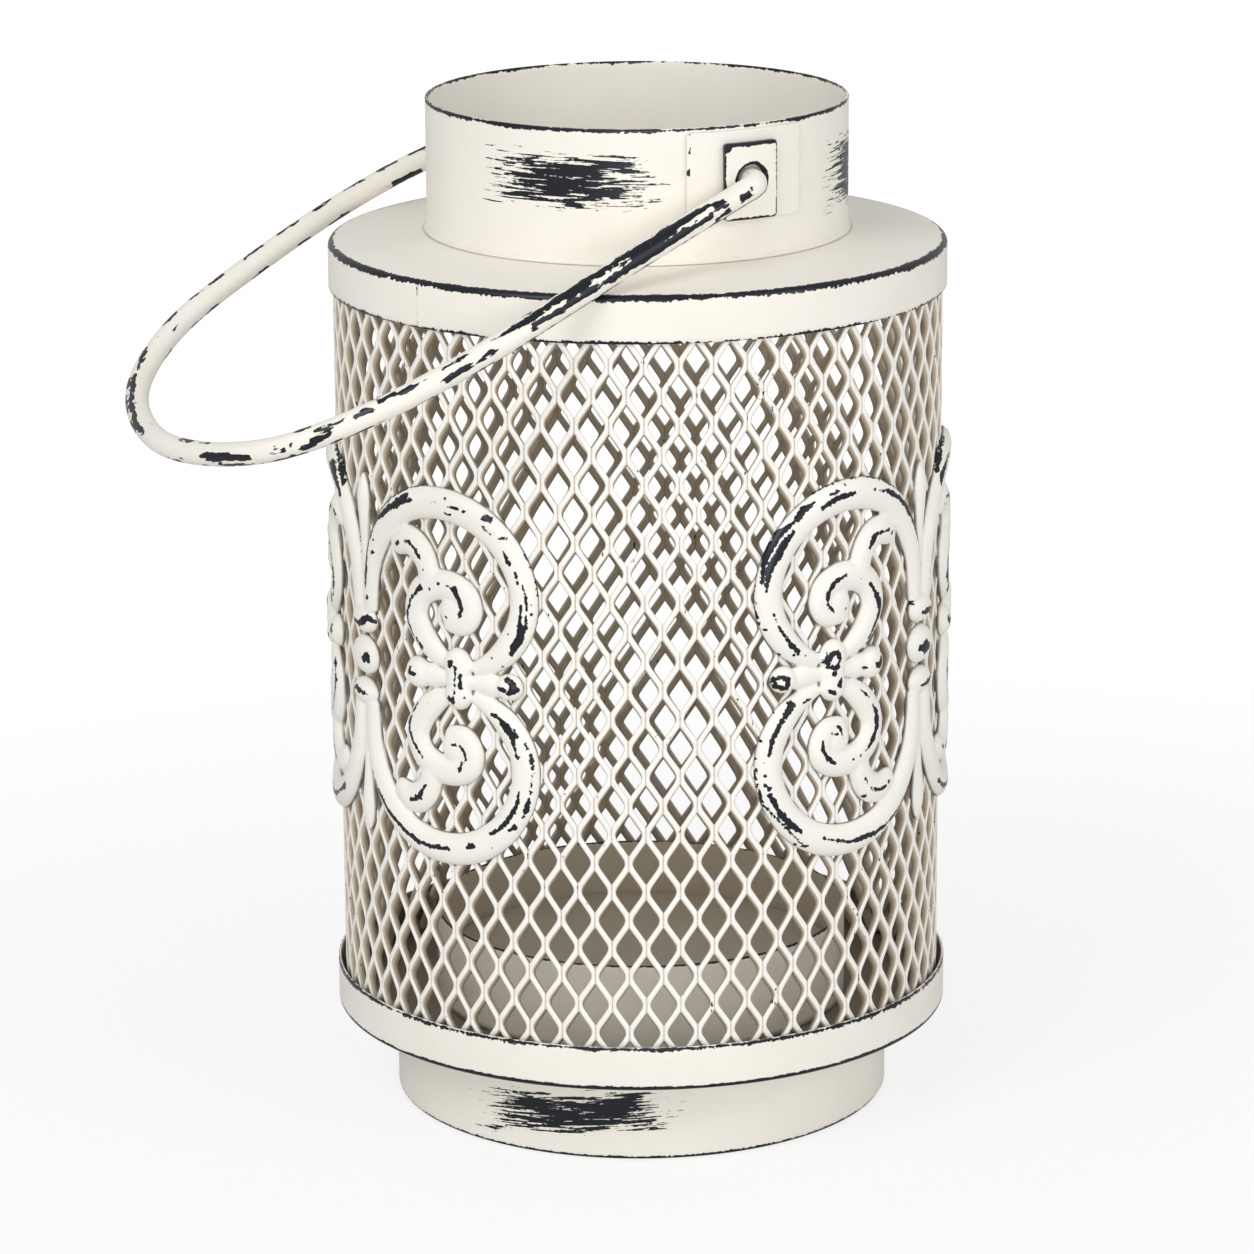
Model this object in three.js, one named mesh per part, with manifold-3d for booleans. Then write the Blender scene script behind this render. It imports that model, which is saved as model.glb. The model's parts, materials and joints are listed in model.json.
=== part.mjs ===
// Candle lantern with an expanded-metal body, scroll ornaments and a swing handle.
// Millimetres, +Z up. The origin is the centre of the foot's underside, and -Y is the front.
// Angles round the lantern are in degrees from the front, positive towards +X.

import * as THREE from 'three';
import * as BufferGeometryUtils from 'three/addons/utils/BufferGeometryUtils.js';
import Module from 'manifold-3d';

const wasm = await Module();
wasm.setup();

// Clearances
const seat = 0.3; // between pieces that rest on or against each other
const earRunning = 0.6; // between the handle's arm and the ear plate's face
const baseBandPlay = 1.1; // between the base pan's band and the mesh that stands inside it
const capBandPlay = 0.35; // between the mesh and the cap's band that goes over it

// Foot pan
const footRadius = 64.6;
const footHeight = 23.9;
const footSheet = 0.8;
const footBend = 1.2; // outer bend radius between the bottom and the wall

// Base pan with its upright band
const baseRadius = 80;
const baseBandHeight = 11.4;
const baseSheet = 0.8;
const baseBend = 0.9;

// Candle cup, a rolled wall with a raised floor
const cupRadius = 53.7;
const cupWallHeight = 23;
const cupSheet = 0.8;
const cupFloorRise = 9; // top of the cup's floor above the base pan's floor
const cupFloorLip = 5;

// Expanded-metal sleeve
const meshHeight = 200;
const meshThickness = 1.6;
const meshColumns = 24;
const meshRows = 6;
const strandWidth = 2.3;
const bondLength = 5;
const hemHeight = 2.4; // plain edge at the sleeve's top and bottom, hidden by the bands

// Shoulder cap
const capBandHeight = 12;
const capSheet = 0.7;
const capBend = 1.7;
const capDome = 2.4; // rise from the edge to the neck

// Neck collar
const neckRadius = 53.8;
const neckSheet = 0.8;
const neckStand = 33.8; // above the cap
const neckTail = 4; // below the cap's upper face
const neckLip = 0.3; // chamfer on the rim's edges

// Handle's ears
const earAngle = 30;
const padWidth = 33;
const padHeight = 22.5;
const padSheet = 0.6;
const padDrop = 1.2; // from the collar's rim to the pad's upper edge
const plateWidth = 15;
const plateHeight = 19.2;
const plateSheet = 1.4;
const earHoleRadius = 4;
const pivotDrop = 13.7; // from the collar's rim to the handle's axis

// Handle
const rodRadius = 3;
const elbowRadius = 3.5;
const handleReach = 147.1; // from the axis to the rod's centre at the far end
const handleBow = 2.9; // rise of the arms out of the flat loop
// Half widths of the hand-bent loop's centre line, at the stated distances from the axis
const shoulderHalfWidth = { front: 62.5, back: 67 };
const waistHalfWidth = { front: 63.5, back: 63.9 };
const bendHalfWidth = { front: 55.1, back: 56.9 };
const tipHalfWidth = 37.4;
const shoulderReach = 37.1;
const waistReach = 82.5;
const bendReach = 114.2;
const tipReach = 136.4;
const handleRestGap = 0.3; // between the rod and the shoulder's rim that it lies on

// Scroll ornaments
// Each ornament's angle from the front and its middle's height: they aren't fastened quite alike
const scrollPlaces = { left: { angle: -61.6, height: 127.2 }, right: { angle: 64, height: 128.4 } };
const scrollWidth = 118.2; // measured round the mesh
const scrollRelief = 2.4;
const beadRelief = 3;

// Facets
const ringSegments = 48;
const rodSides = 8;
const elbowSteps = 4;
const handleSteps = 44;
const beadSides = 8;

const rad = THREE.MathUtils.degToRad;

// Radii that follow from the base pan
const meshRadius = baseRadius - baseSheet - baseBandPlay;
const capRadius = meshRadius + capBandPlay + capSheet;

// Heights that follow from the stack
const baseFloorBottom = footHeight + seat;
const baseFloorTop = baseFloorBottom + baseSheet;
const meshBottom = baseFloorTop + seat;
const meshTop = meshBottom + meshHeight;
const capEdgeTop = meshTop + seat + capBend;
const capNeckTop = capEdgeTop + capDome;
const neckTop = capNeckTop + neckStand;
const pivotHeight = neckTop - pivotDrop;
const scrollBase = meshRadius + seat;
const padInner = neckRadius + seat;
const plateInner = padInner + padSheet + seat;
const plateOuter = plateInner + plateSheet;
const armRadius = plateOuter + earRunning + rodRadius; // arm's centre line, measured from the lantern's axis
const rodCorner = rodRadius / Math.cos(Math.PI / rodSides); // the faceted rod's flats lie on the round one's surface

// Geometry helpers

function signedVolume(geometry) {
  const p = geometry.attributes.position;
  const index = geometry.index;
  const a = new THREE.Vector3();
  const b = new THREE.Vector3();
  const c = new THREE.Vector3();
  let volume = 0;
  for (let i = 0; i < index.count; i += 3) {
    a.fromBufferAttribute(p, index.getX(i));
    b.fromBufferAttribute(p, index.getX(i + 1));
    c.fromBufferAttribute(p, index.getX(i + 2));
    volume += a.dot(b.cross(c)) / 6;
  }
  return volume;
}

// Keeps only the positions, merges shared vertices and turns the faces outwards.
function closed(geometry) {
  geometry.deleteAttribute('normal');
  geometry.deleteAttribute('uv');
  const merged = BufferGeometryUtils.mergeVertices(geometry, 1e-4);
  if (signedVolume(merged) < 0) {
    const faces = merged.index.array;
    for (let i = 0; i < faces.length; i += 3) {
      [faces[i + 1], faces[i + 2]] = [faces[i + 2], faces[i + 1]];
    }
  }
  return merged;
}

// Makes a solid from rings with equal counts of points: skin between the rings, flat caps at both ends.
function skin(rings) {
  const count = rings[0].length;
  const positions = rings.flat().flatMap((p) => [p.x, p.y, p.z]);
  const faces = [];
  for (let i = 0; i + 1 < rings.length; i += 1) {
    for (let j = 0; j < count; j += 1) {
      const a = i * count + j;
      const b = i * count + ((j + 1) % count);
      faces.push(a, b, b + count, a, b + count, a + count);
    }
  }
  const last = (rings.length - 1) * count;
  for (let j = 1; j + 1 < count; j += 1) {
    faces.push(0, j + 1, j, last, last + j, last + j + 1);
  }
  const geometry = new THREE.BufferGeometry();
  geometry.setAttribute('position', new THREE.Float32BufferAttribute(positions, 3));
  geometry.setIndex(faces);
  return closed(geometry);
}

function toManifold(geometry) {
  return new wasm.Manifold(new wasm.Mesh({
    numProp: 3,
    vertProperties: new Float32Array(geometry.attributes.position.array),
    triVerts: new Uint32Array(geometry.index.array),
  }));
}

function fromManifold(solid) {
  const mesh = solid.getMesh();
  const geometry = new THREE.BufferGeometry();
  geometry.setAttribute('position', new THREE.BufferAttribute(mesh.vertProperties, 3));
  geometry.setIndex(new THREE.BufferAttribute(mesh.triVerts, 1));
  return geometry;
}

function joinAll(geometries) {
  return fromManifold(geometries.map(toManifold).reduce((whole, piece) => whole.add(piece)));
}

function cut(geometry, tool) {
  return fromManifold(toManifold(geometry).subtract(toManifold(closed(tool))));
}

// Turns a closed outline of [radius, height] pairs about the lantern's axis.
function turned(outline) {
  const points = [...outline, outline[0]].map(([r, z]) => new THREE.Vector2(r, z));
  return closed(new THREE.LatheGeometry(points, ringSegments).rotateX(Math.PI / 2));
}

// Points of a quarter bend between two directions, given in degrees.
function bend(centreR, centreZ, radius, from, to, steps = 2) {
  return Array.from({ length: steps + 1 }, (_, i) => {
    const angle = rad(from + ((to - from) * i) / steps);
    return [centreR + radius * Math.cos(angle), centreZ + radius * Math.sin(angle)];
  });
}

// Part of a ring between two radii, centred on the front, standing from one height to another.
function ringPart(inner, outer, width, bottom, height) {
  const half = width / 2 / outer;
  const front = -Math.PI / 2;
  const shape = new THREE.Shape();
  shape.absarc(0, 0, outer, front - half, front + half, false);
  shape.absarc(0, 0, inner, front + half, front - half, true);
  const geometry = new THREE.ExtrudeGeometry(shape, { depth: height, bevelEnabled: false, curveSegments: 6 });
  return closed(geometry.translate(0, 0, bottom));
}

// Sheet-metal pieces

function makeFootPan() {
  const inner = footRadius - footSheet;
  return turned([
    [0, 0],
    ...bend(footRadius - footBend, footBend, footBend, -90, 0),
    [footRadius, footHeight],
    [inner, footHeight],
    [inner, footSheet],
    [0, footSheet],
  ]);
}

function makeBasePan() {
  const inner = baseRadius - baseSheet;
  const top = baseFloorBottom + baseBandHeight;
  return turned([
    [0, baseFloorBottom],
    ...bend(baseRadius - baseBend, baseFloorBottom + baseBend, baseBend, -90, 0),
    [baseRadius, top],
    [inner, top],
    [inner, baseFloorTop],
    [0, baseFloorTop],
  ]);
}

function makeCandleCupWall() {
  const bottom = baseFloorTop + seat;
  const inner = cupRadius - cupSheet;
  return turned([
    [inner, bottom],
    [cupRadius, bottom],
    [cupRadius, bottom + cupWallHeight],
    [inner, bottom + cupWallHeight],
  ]);
}

function makeCandleCupFloor() {
  const outer = cupRadius - cupSheet - seat;
  const inner = outer - cupSheet;
  const top = baseFloorTop + cupFloorRise;
  const bottom = top - cupFloorLip;
  return turned([
    [0, top - cupSheet],
    [inner, top - cupSheet],
    [inner, bottom],
    [outer, bottom],
    [outer, top],
    [0, top],
  ]);
}

function makeShoulderCap() {
  const hole = neckRadius + seat;
  const inner = capRadius - capSheet;
  const bottom = capEdgeTop - capBandHeight;
  const bendR = capRadius - capBend;
  const bendZ = capEdgeTop - capBend;
  return turned([
    [hole, capNeckTop - capSheet],
    ...bend(bendR, bendZ, capBend - capSheet, 90, 0),
    [inner, bottom],
    [capRadius, bottom],
    ...bend(bendR, bendZ, capBend, 0, 90),
    [hole, capNeckTop],
  ]);
}

function makeNeckCollar() {
  const inner = neckRadius - neckSheet;
  const bottom = capNeckTop - neckTail;
  return turned([
    [inner, bottom],
    [neckRadius, bottom],
    [neckRadius, neckTop - neckLip],
    [neckRadius - neckLip, neckTop],
    [inner, neckTop],
  ]);
}

// Expanded-metal sleeve: bonds where strands meet, four strands from each, and a plain hem at both ends

function makeMeshSleeve() {
  const levels = 2 * meshRows;
  const columnStep = (2 * Math.PI) / meshColumns;
  const latticeBottom = meshBottom + hemHeight;
  const levelStep = (meshHeight - 2 * hemHeight) / levels;
  const halfTurn = columnStep / 2;
  // Half width of a bond, so that the strands leaving it have the stated width
  const slope = Math.atan2(levelStep, halfTurn * meshRadius);
  const bondHalf = strandWidth / (2 * Math.sin(slope)) + strandWidth / 4;
  const bondTurn = bondHalf / meshRadius;
  const positions = [];
  const faces = [];

  // A corner is kept twice, on the outer and on the inner face
  function corner(angle, height) {
    const id = positions.length / 3;
    for (const radius of [meshRadius, meshRadius - meshThickness]) {
      positions.push(radius * Math.sin(angle), -radius * Math.cos(angle), height);
    }
    return id;
  }
  function plate(a, b, c, d) {
    faces.push(a, b, c, a, c, d);
    faces.push(a + 1, c + 1, b + 1, a + 1, d + 1, c + 1);
  }
  function wall(a, b) {
    faces.push(a, a + 1, b + 1, a, b + 1, b);
  }

  const bonds = [];
  for (let level = 0; level <= levels; level += 1) {
    const height = latticeBottom + level * levelStep;
    const lead = level % 2 === 0 ? 0 : halfTurn;
    bonds.push(Array.from({ length: meshColumns }, (_, column) => {
      const angle = lead + column * columnStep;
      return {
        west: corner(angle - bondTurn, height),
        east: corner(angle + bondTurn, height),
        south: level > 0 ? corner(angle, height - bondLength / 2) : null,
        north: level < levels ? corner(angle, height + bondLength / 2) : null,
      };
    }));
  }

  for (let level = 0; level < levels; level += 1) {
    for (let column = 0; column < meshColumns; column += 1) {
      const from = bonds[level][column];
      const shift = level % 2 === 0 ? 0 : 1;
      const right = bonds[level + 1][(column + shift) % meshColumns];
      const left = bonds[level + 1][(column + shift + meshColumns - 1) % meshColumns];
      plate(from.north, from.east, right.south, right.west);
      plate(from.west, from.north, left.east, left.south);
      wall(right.west, from.north);
      wall(from.east, right.south);
      wall(from.north, left.east);
      wall(left.south, from.west);
      if (level > 0) plate(from.south, from.east, from.north, from.west);
    }
  }

  // Hems close the half diamonds at both ends
  for (const [level, edge] of [[0, meshBottom], [levels, meshTop]]) {
    const row = bonds[level];
    const lead = level % 2 === 0 ? 0 : halfTurn;
    const rim = row.map((_, column) => {
      const angle = lead + column * columnStep;
      return { west: corner(angle - bondTurn, edge), east: corner(angle + bondTurn, edge) };
    });
    for (let column = 0; column < meshColumns; column += 1) {
      const next = (column + 1) % meshColumns;
      const bond = row[column];
      if (level === 0) {
        plate(rim[column].west, rim[column].east, bond.east, bond.west);
        plate(rim[column].east, rim[next].west, row[next].west, bond.east);
        faces.push(bond.west, bond.east, bond.north, bond.west + 1, bond.north + 1, bond.east + 1);
        wall(row[next].west, bond.east);
        wall(rim[column].east, rim[next].west);
        wall(rim[column].west, rim[column].east);
      } else {
        plate(bond.west, bond.east, rim[column].east, rim[column].west);
        plate(bond.east, row[next].west, rim[next].west, rim[column].east);
        faces.push(bond.west, bond.south, bond.east, bond.west + 1, bond.east + 1, bond.south + 1);
        wall(bond.east, row[next].west);
        wall(rim[next].west, rim[column].east);
        wall(rim[column].east, rim[column].west);
      }
    }
  }

  const geometry = new THREE.BufferGeometry();
  geometry.setAttribute('position', new THREE.Float32BufferAttribute(positions, 3));
  geometry.setIndex(faces);
  return closed(geometry);
}

// Ears of the handle

function earHole() {
  const depth = plateOuter + padInner;
  const drill = new THREE.CylinderGeometry(earHoleRadius, earHoleRadius, depth, 20);
  return drill.translate(0, -depth / 2, pivotHeight);
}

function makeEarPad() {
  const bottom = neckTop - padDrop - padHeight;
  return cut(ringPart(padInner, padInner + padSheet, padWidth, bottom, padHeight), earHole());
}

function makeEarPlate() {
  const bottom = pivotHeight - plateHeight / 2;
  return cut(ringPart(plateInner, plateOuter, plateWidth, bottom, plateHeight), earHole());
}

// Handle: a rod bent to one loop, its ends turned in to the ears

function handleOutline() {
  const end = [[padInner, 0], ...bend(armRadius - elbowRadius, elbowRadius, elbowRadius, -90, 0, elbowSteps)];
  const arm = (side) => [
    [armRadius, elbowRadius],
    [shoulderHalfWidth[side], shoulderReach],
    [waistHalfWidth[side], waistReach],
    [bendHalfWidth[side], bendReach],
    [tipHalfWidth, tipReach],
  ];
  const mirrored = (points) => points.slice().reverse().map(([x, y]) => [-x, y]);
  const loop = new THREE.CatmullRomCurve3(
    [...arm('front'), [0, handleReach], ...mirrored(arm('back'))].map(([x, y]) => new THREE.Vector3(x, y, 0)),
    false,
    'centripetal',
  );
  const along = loop.getSpacedPoints(handleSteps).slice(1, -1).map((p) => [p.x, p.y]);
  return [...end, ...along, ...mirrored(end)];
}

// Directions of the handle at a swing in degrees below the horizontal:
// across from ear to ear, out along the arms, and up from the loop's plane
function handleAxes(swing) {
  const across = new THREE.Vector3(Math.sin(rad(earAngle)), -Math.cos(rad(earAngle)), 0);
  const level = new THREE.Vector3(-Math.cos(rad(earAngle)), -Math.sin(rad(earAngle)), 0);
  const out = level.multiplyScalar(Math.cos(rad(swing)));
  out.z = -Math.sin(rad(swing));
  return { across, out, rise: new THREE.Vector3().crossVectors(out, across) };
}

function handlePath({ across, out, rise }) {
  return handleOutline().map(([x, y]) => new THREE.Vector3(0, 0, pivotHeight)
    .addScaledVector(across, x)
    .addScaledVector(out, y)
    .addScaledVector(rise, handleBow * Math.sin((Math.PI * y) / handleReach)));
}

// Least distance from a point to the cap's rim, taken as its rounded edge
function distanceToRim(point) {
  const radial = Math.hypot(point.x, point.y) - (capRadius - capBend);
  const height = point.z - (capEdgeTop - capBend);
  return Math.hypot(Math.max(radial, 0), Math.max(height, 0)) - capBend;
}

// Swing at which the rod lies on the rim
function restSwing() {
  let free = 0;
  let touching = 80;
  while (touching - free > 0.001) {
    const swing = (free + touching) / 2;
    const gap = Math.min(...handlePath(handleAxes(swing)).map(distanceToRim)) - rodCorner;
    if (gap > handleRestGap) free = swing;
    else touching = swing;
  }
  return free;
}

function makeHandle(swing) {
  const axes = handleAxes(swing);
  const path = handlePath(axes);
  const rings = path.map((point, i) => {
    const before = path[Math.max(i - 1, 0)];
    const after = path[Math.min(i + 1, path.length - 1)];
    const tangent = after.clone().sub(before).normalize();
    const side = new THREE.Vector3().crossVectors(tangent, axes.rise).normalize();
    const top = new THREE.Vector3().crossVectors(side, tangent);
    return Array.from({ length: rodSides }, (_, j) => {
      const angle = (2 * Math.PI * (j + 0.5)) / rodSides;
      return point.clone()
        .addScaledVector(side, rodCorner * Math.cos(angle))
        .addScaledVector(top, rodCorner * Math.sin(angle));
    });
  });
  return skin(rings);
}

// Scroll ornaments, drawn flat as distance along the mesh and height from the middle, then bent round it.
// Their lines are [along, height, width] points in the drawing's own measure.

const outerLoop = [
  [5, 11.5, 6.4], [5.2, 16, 6.6], [6, 22.5, 7], [8.4, 30, 7.6], [13.3, 37.6, 8.2], [20.8, 43.1, 8.2], [30.6, 44.9, 8.2],
  [40.5, 42.9, 8.2], [48.6, 36.6, 8.2], [53.6, 29, 8.2], [55, 21.5, 8.2], [53.6, 13.8, 8], [49.6, 8, 7.2],
  [44, 4.6, 6.4], [39.5, 2.6, 5.6],
];
const innerScroll = [
  [35.5, 3, 6], [30.4, 7.4, 7], [26.2, 12, 7.5], [24.6, 16.8, 7.5], [26.2, 21.8, 7.5], [30.4, 24.7, 7.5],
  [35.2, 24.8, 7.4], [39.2, 22.4, 7.2], [40.2, 19, 7.2], [38.4, 16.2, 7.2], [35.4, 16.4, 7],
];
const hook = [[29, 24.5, 6.2], [28.5, 29.5, 6.8], [26, 33.4, 7.2], [22, 34.8, 7.2], [18.2, 33.6, 6]];
const knobNeck = [[23, 0, 6.6], [30, 0, 8.4], [37, 0, 7], [44, 0, 9], [49, 0, 6.8]];
const leaf = [
  [0, 10, 3.4], [0, 22, 3.4], [0, 30, 3.8], [0, 36, 5.4], [0, 40.5, 6.2], [0, 44.5, 5], [0, 47.5, 2.4], [0, 48.6, 0.8],
];

// Beads and clasps on the drawing: place, half axes
const middleBead = { along: 0, height: 0, halfAlong: 8.6, halfHeight: 6 };
const stackedBead = { along: 0, height: 9.1, halfAlong: 7.9, halfHeight: 4.6 };
const innerKnob = { along: 24, height: 0, halfAlong: 3.7, halfHeight: 3.7 };
const clasp = { along: 37.2, height: 0, halfAlong: 4.4, halfHeight: 8.3 };
const outerKnob = { along: 50.6, height: 0, halfAlong: 4, halfHeight: 3.9 };

const drawnHalfWidth = Math.max(...outerLoop.map(([along, , width]) => along + width / 2));
const drawingScale = scrollWidth / (2 * drawnHalfWidth);

// Section of a raised bar, as shares of its width and relief
const barSection = [[-0.5, 0], [-0.26, 1], [0.26, 1], [0.5, 0]];

// Puts a point of the drawing at a rise above the ornament's back
function wrap(along, height, rise) {
  const radius = scrollBase + rise;
  const angle = (along * drawingScale) / scrollBase;
  return new THREE.Vector3(
    radius * Math.sin(angle),
    -radius * Math.cos(angle),
    height * drawingScale,
  );
}

// A raised bar along a smooth line through [along, height, width] points
function bar(points, steps, mirrorAlong, mirrorHeight) {
  const curve = new THREE.CatmullRomCurve3(
    points.map(([along, height, width]) => new THREE.Vector3(along, height, width)),
    false,
    'centripetal',
  );
  const line = curve.getPoints(steps);
  return skin(line.map((point, i) => {
    const before = line[Math.max(i - 1, 0)];
    const after = line[Math.min(i + 1, line.length - 1)];
    const length = Math.hypot(after.x - before.x, after.y - before.y);
    const normal = [-(after.y - before.y) / length, (after.x - before.x) / length];
    return barSection.map(([across, rise]) => wrap(
      mirrorAlong * (point.x + across * point.z * normal[0]),
      mirrorHeight * (point.y + across * point.z * normal[1]),
      rise * scrollRelief,
    ));
  }));
}

// A raised oval bead, flat behind and clear of the mesh's curve
function bead({ along, height, halfAlong, halfHeight }, mirrorAlong = 1, mirrorHeight = 1) {
  const lift = scrollBase / Math.cos((halfAlong * drawingScale) / scrollBase) - scrollBase;
  const layers = [[1, lift], [0.6, beadRelief]];
  return skin(layers.map(([share, rise]) => Array.from({ length: beadSides }, (_, j) => {
    const angle = (2 * Math.PI * (j + 0.5)) / beadSides;
    return wrap(
      mirrorAlong * (along + share * halfAlong * Math.cos(angle)),
      mirrorHeight * (height + share * halfHeight * Math.sin(angle)),
      rise,
    );
  })));
}

function makeScroll() {
  const pieces = [bead(middleBead)];
  for (const mirrorHeight of [1, -1]) {
    pieces.push(bar(leaf, 8, 1, mirrorHeight));
    for (const mirrorAlong of [1, -1]) {
      pieces.push(bar(outerLoop, 16, mirrorAlong, mirrorHeight));
      pieces.push(bar(innerScroll, 12, mirrorAlong, mirrorHeight));
      pieces.push(bar(hook, 5, mirrorAlong, mirrorHeight));
    }
    pieces.push(bead(stackedBead, 1, mirrorHeight));
  }
  for (const mirrorAlong of [1, -1]) {
    pieces.push(bar(knobNeck, 5, mirrorAlong, 1));
    for (const knob of [innerKnob, clasp, outerKnob]) pieces.push(bead(knob, mirrorAlong));
  }
  return joinAll(pieces);
}

// Assembly

const creamPaint = { color: 0xf0ebe0, roughness: 0.45, metalness: 0 };
const insidePaint = { color: 0xe2dccd, roughness: 0.55, metalness: 0 };
const wornCream = { color: 0xe8e3d8, roughness: 0.4, metalness: 0.1 };

const lantern = new THREE.Group();
lantern.name = 'lantern';

function add(name, geometry, finish, angle = 0, height = 0) {
  const mesh = new THREE.Mesh(geometry, new THREE.MeshStandardMaterial(finish));
  mesh.name = name;
  mesh.rotation.z = rad(angle);
  mesh.position.z = height;
  lantern.add(mesh);
}

add('foot_pan', makeFootPan(), creamPaint);
add('base_pan', makeBasePan(), creamPaint);
add('candle_cup_wall', makeCandleCupWall(), insidePaint);
add('candle_cup_floor', makeCandleCupFloor(), insidePaint);
add('mesh_sleeve', makeMeshSleeve(), creamPaint);
add('shoulder_cap', makeShoulderCap(), creamPaint);
add('neck_collar', makeNeckCollar(), creamPaint);
for (const [side, turn] of [['front', 0], ['back', 180]]) {
  add(`ear_pad_${side}`, makeEarPad(), creamPaint, earAngle + turn);
  add(`ear_plate_${side}`, makeEarPlate(), creamPaint, earAngle + turn);
}
add('bail_handle', makeHandle(restSwing()), wornCream);
for (const [side, { angle, height }] of Object.entries(scrollPlaces)) {
  add(`scroll_${side}`, makeScroll(), wornCream, angle, height);
}

export default lantern;
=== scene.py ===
# Candle lantern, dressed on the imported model: metres in Blender, with sizes written in millimetres.
# Angles round the lantern are in degrees from the front (-Y), positive towards +X.

import json
import math

import bpy
import numpy as np
from mathutils import Matrix, Vector


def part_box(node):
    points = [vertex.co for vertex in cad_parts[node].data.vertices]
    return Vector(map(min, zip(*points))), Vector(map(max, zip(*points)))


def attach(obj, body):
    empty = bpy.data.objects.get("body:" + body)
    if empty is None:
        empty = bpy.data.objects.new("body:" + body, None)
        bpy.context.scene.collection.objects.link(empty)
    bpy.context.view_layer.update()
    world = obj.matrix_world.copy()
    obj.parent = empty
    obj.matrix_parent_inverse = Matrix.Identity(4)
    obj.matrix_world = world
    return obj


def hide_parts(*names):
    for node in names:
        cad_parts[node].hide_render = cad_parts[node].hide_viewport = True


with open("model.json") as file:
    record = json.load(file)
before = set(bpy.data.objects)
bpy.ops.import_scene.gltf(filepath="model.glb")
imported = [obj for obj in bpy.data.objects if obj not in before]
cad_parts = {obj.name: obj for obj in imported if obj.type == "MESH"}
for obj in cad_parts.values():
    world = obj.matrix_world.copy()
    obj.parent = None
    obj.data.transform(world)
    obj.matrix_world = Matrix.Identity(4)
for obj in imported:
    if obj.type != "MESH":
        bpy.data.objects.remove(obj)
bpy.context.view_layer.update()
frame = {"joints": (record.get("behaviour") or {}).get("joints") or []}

MM = 0.001


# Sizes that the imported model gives


def ring_size(node):
    """Outer radius, bottom and top of a turned piece, in millimetres."""
    low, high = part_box(node)
    return high.x / MM, low.z / MM, high.z / MM


FOOT_RADIUS, _, FOOT_TOP = ring_size("foot_pan")
BASE_RADIUS, BASE_BOTTOM, BASE_TOP = ring_size("base_pan")
CUP_RADIUS, CUP_BOTTOM, CUP_TOP = ring_size("candle_cup_wall")
CUP_FLOOR_RADIUS, CUP_FLOOR_BOTTOM, CUP_FLOOR_TOP = ring_size("candle_cup_floor")
MESH_RADIUS, MESH_BOTTOM, MESH_TOP = ring_size("mesh_sleeve")
CAP_RADIUS, CAP_BOTTOM, CAP_TOP = ring_size("shoulder_cap")
NECK_RADIUS, NECK_BOTTOM, NECK_TOP = ring_size("neck_collar")
PIVOT_HEIGHT = frame["joints"][0]["pos_m"][2] / MM

# Sizes of the sheet-metal pieces
SHEET = 0.8
CAP_SHEET = 0.7
CAP_BEND = 1.7
CAP_DOME = 2.4
SEAT = 0.3
WELD_RISE = 1.5
WELD_SECTION = [(0.75, 0.05), (0.55, 0.5), (0.2, 0.95)]
CAP_SEAM_ANGLE = -43.3
FOOT_BEND = 1.2
PAN_BEND = 0.9
CENTRE_RADIUS = 0.01
TURNED_SEGMENTS = 288
LONGEST_FACE = 1.5
LINE_SAMPLES = 30

# Rubbed patches: angle, half angle, height, half height, seed, and the rise of the streaks in each millimetre
FOOT_PATCHES = [(-16, 22, 11.8, 5.6, 11, 0.08), (128, 20, 12.6, 6.0, 12, 0.0)]
NECK_PATCHES = [(-19, 22, 250.4, 6.6, 21, 0.0), (84, 21, 246.0, 8.6, 22, 0.0), (152, 22, 247.5, 7, 23, 0.0)]

# Sizes of the expanded metal
MESH_COLUMNS = 57
ROW_PITCH = 14.85
FIRST_BOND_ANGLE = 0.85
FIRST_BOND_HEIGHT = 209.7
STRAND_DEPTH = 2.1
STRAND_TILT = 0.55
STRAND_BEVEL = 0.3
STRAND_SLOPE = 0.69
BOND_LENGTH = 3.86
EDGE_ROUNDING = 1.7
GROOVE_WIDTH = 0.5
ROWS_BELOW_FIRST_BOND = 40
ROWS_IN_ALL = 60

# Sizes of the ears
EAR_ANGLE = 30
PAD_SIZE = (33, 22.5)
PAD_SHEET = 0.6
PAD_DROP = 1.2
PLATE_SIZE = (15, 19.2)
PLATE_SHEET = 1.4
EAR_HOLE_RADIUS = 4
EAR_SEGMENTS = 192
PAD_WEAR = (-0.2, 0.9, -0.6, -0.6, -1, -1)
PAD_BEVEL = 0.15
PAD_CORNER = 1
PLATE_WEAR = (0.5, 0.4, 1.0, 0.5, 0.9, 2.3)
PLATE_BEVEL = 0.25
PLATE_CORNER = 0.9

# Sizes of the handle
ROD_RADIUS = 3
ELBOW_RADIUS = 3.5
EAR_RUNNING = 0.6
HANDLE_REACH = 147.1
HANDLE_BOW = 2.9
ARM_POINTS = {
    1: [(62.5, 37.1), (63.5, 82.5), (55.1, 114.2), (37.4, 136.4)],
    -1: [(67, 37.1), (63.9, 82.5), (56.9, 114.2), (37.4, 136.4)],
}
CAD_ROD_SIDES = 8
REST_GAP = 0.3
ROD_SIDES = 30
ROD_RINGS = 520

# The angle round the rod that faces the front of the lantern, by the distance along the rod in millimetres
FRONT_SIDE = [
    (0, 156.5), (150, 156.5), (160, 148), (176, 139), (192, 120), (199, 107), (208, 93), (224, 66),
    (240, 41), (256, 31), (280, 24), (328, 21), (380, 20),
]

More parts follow.
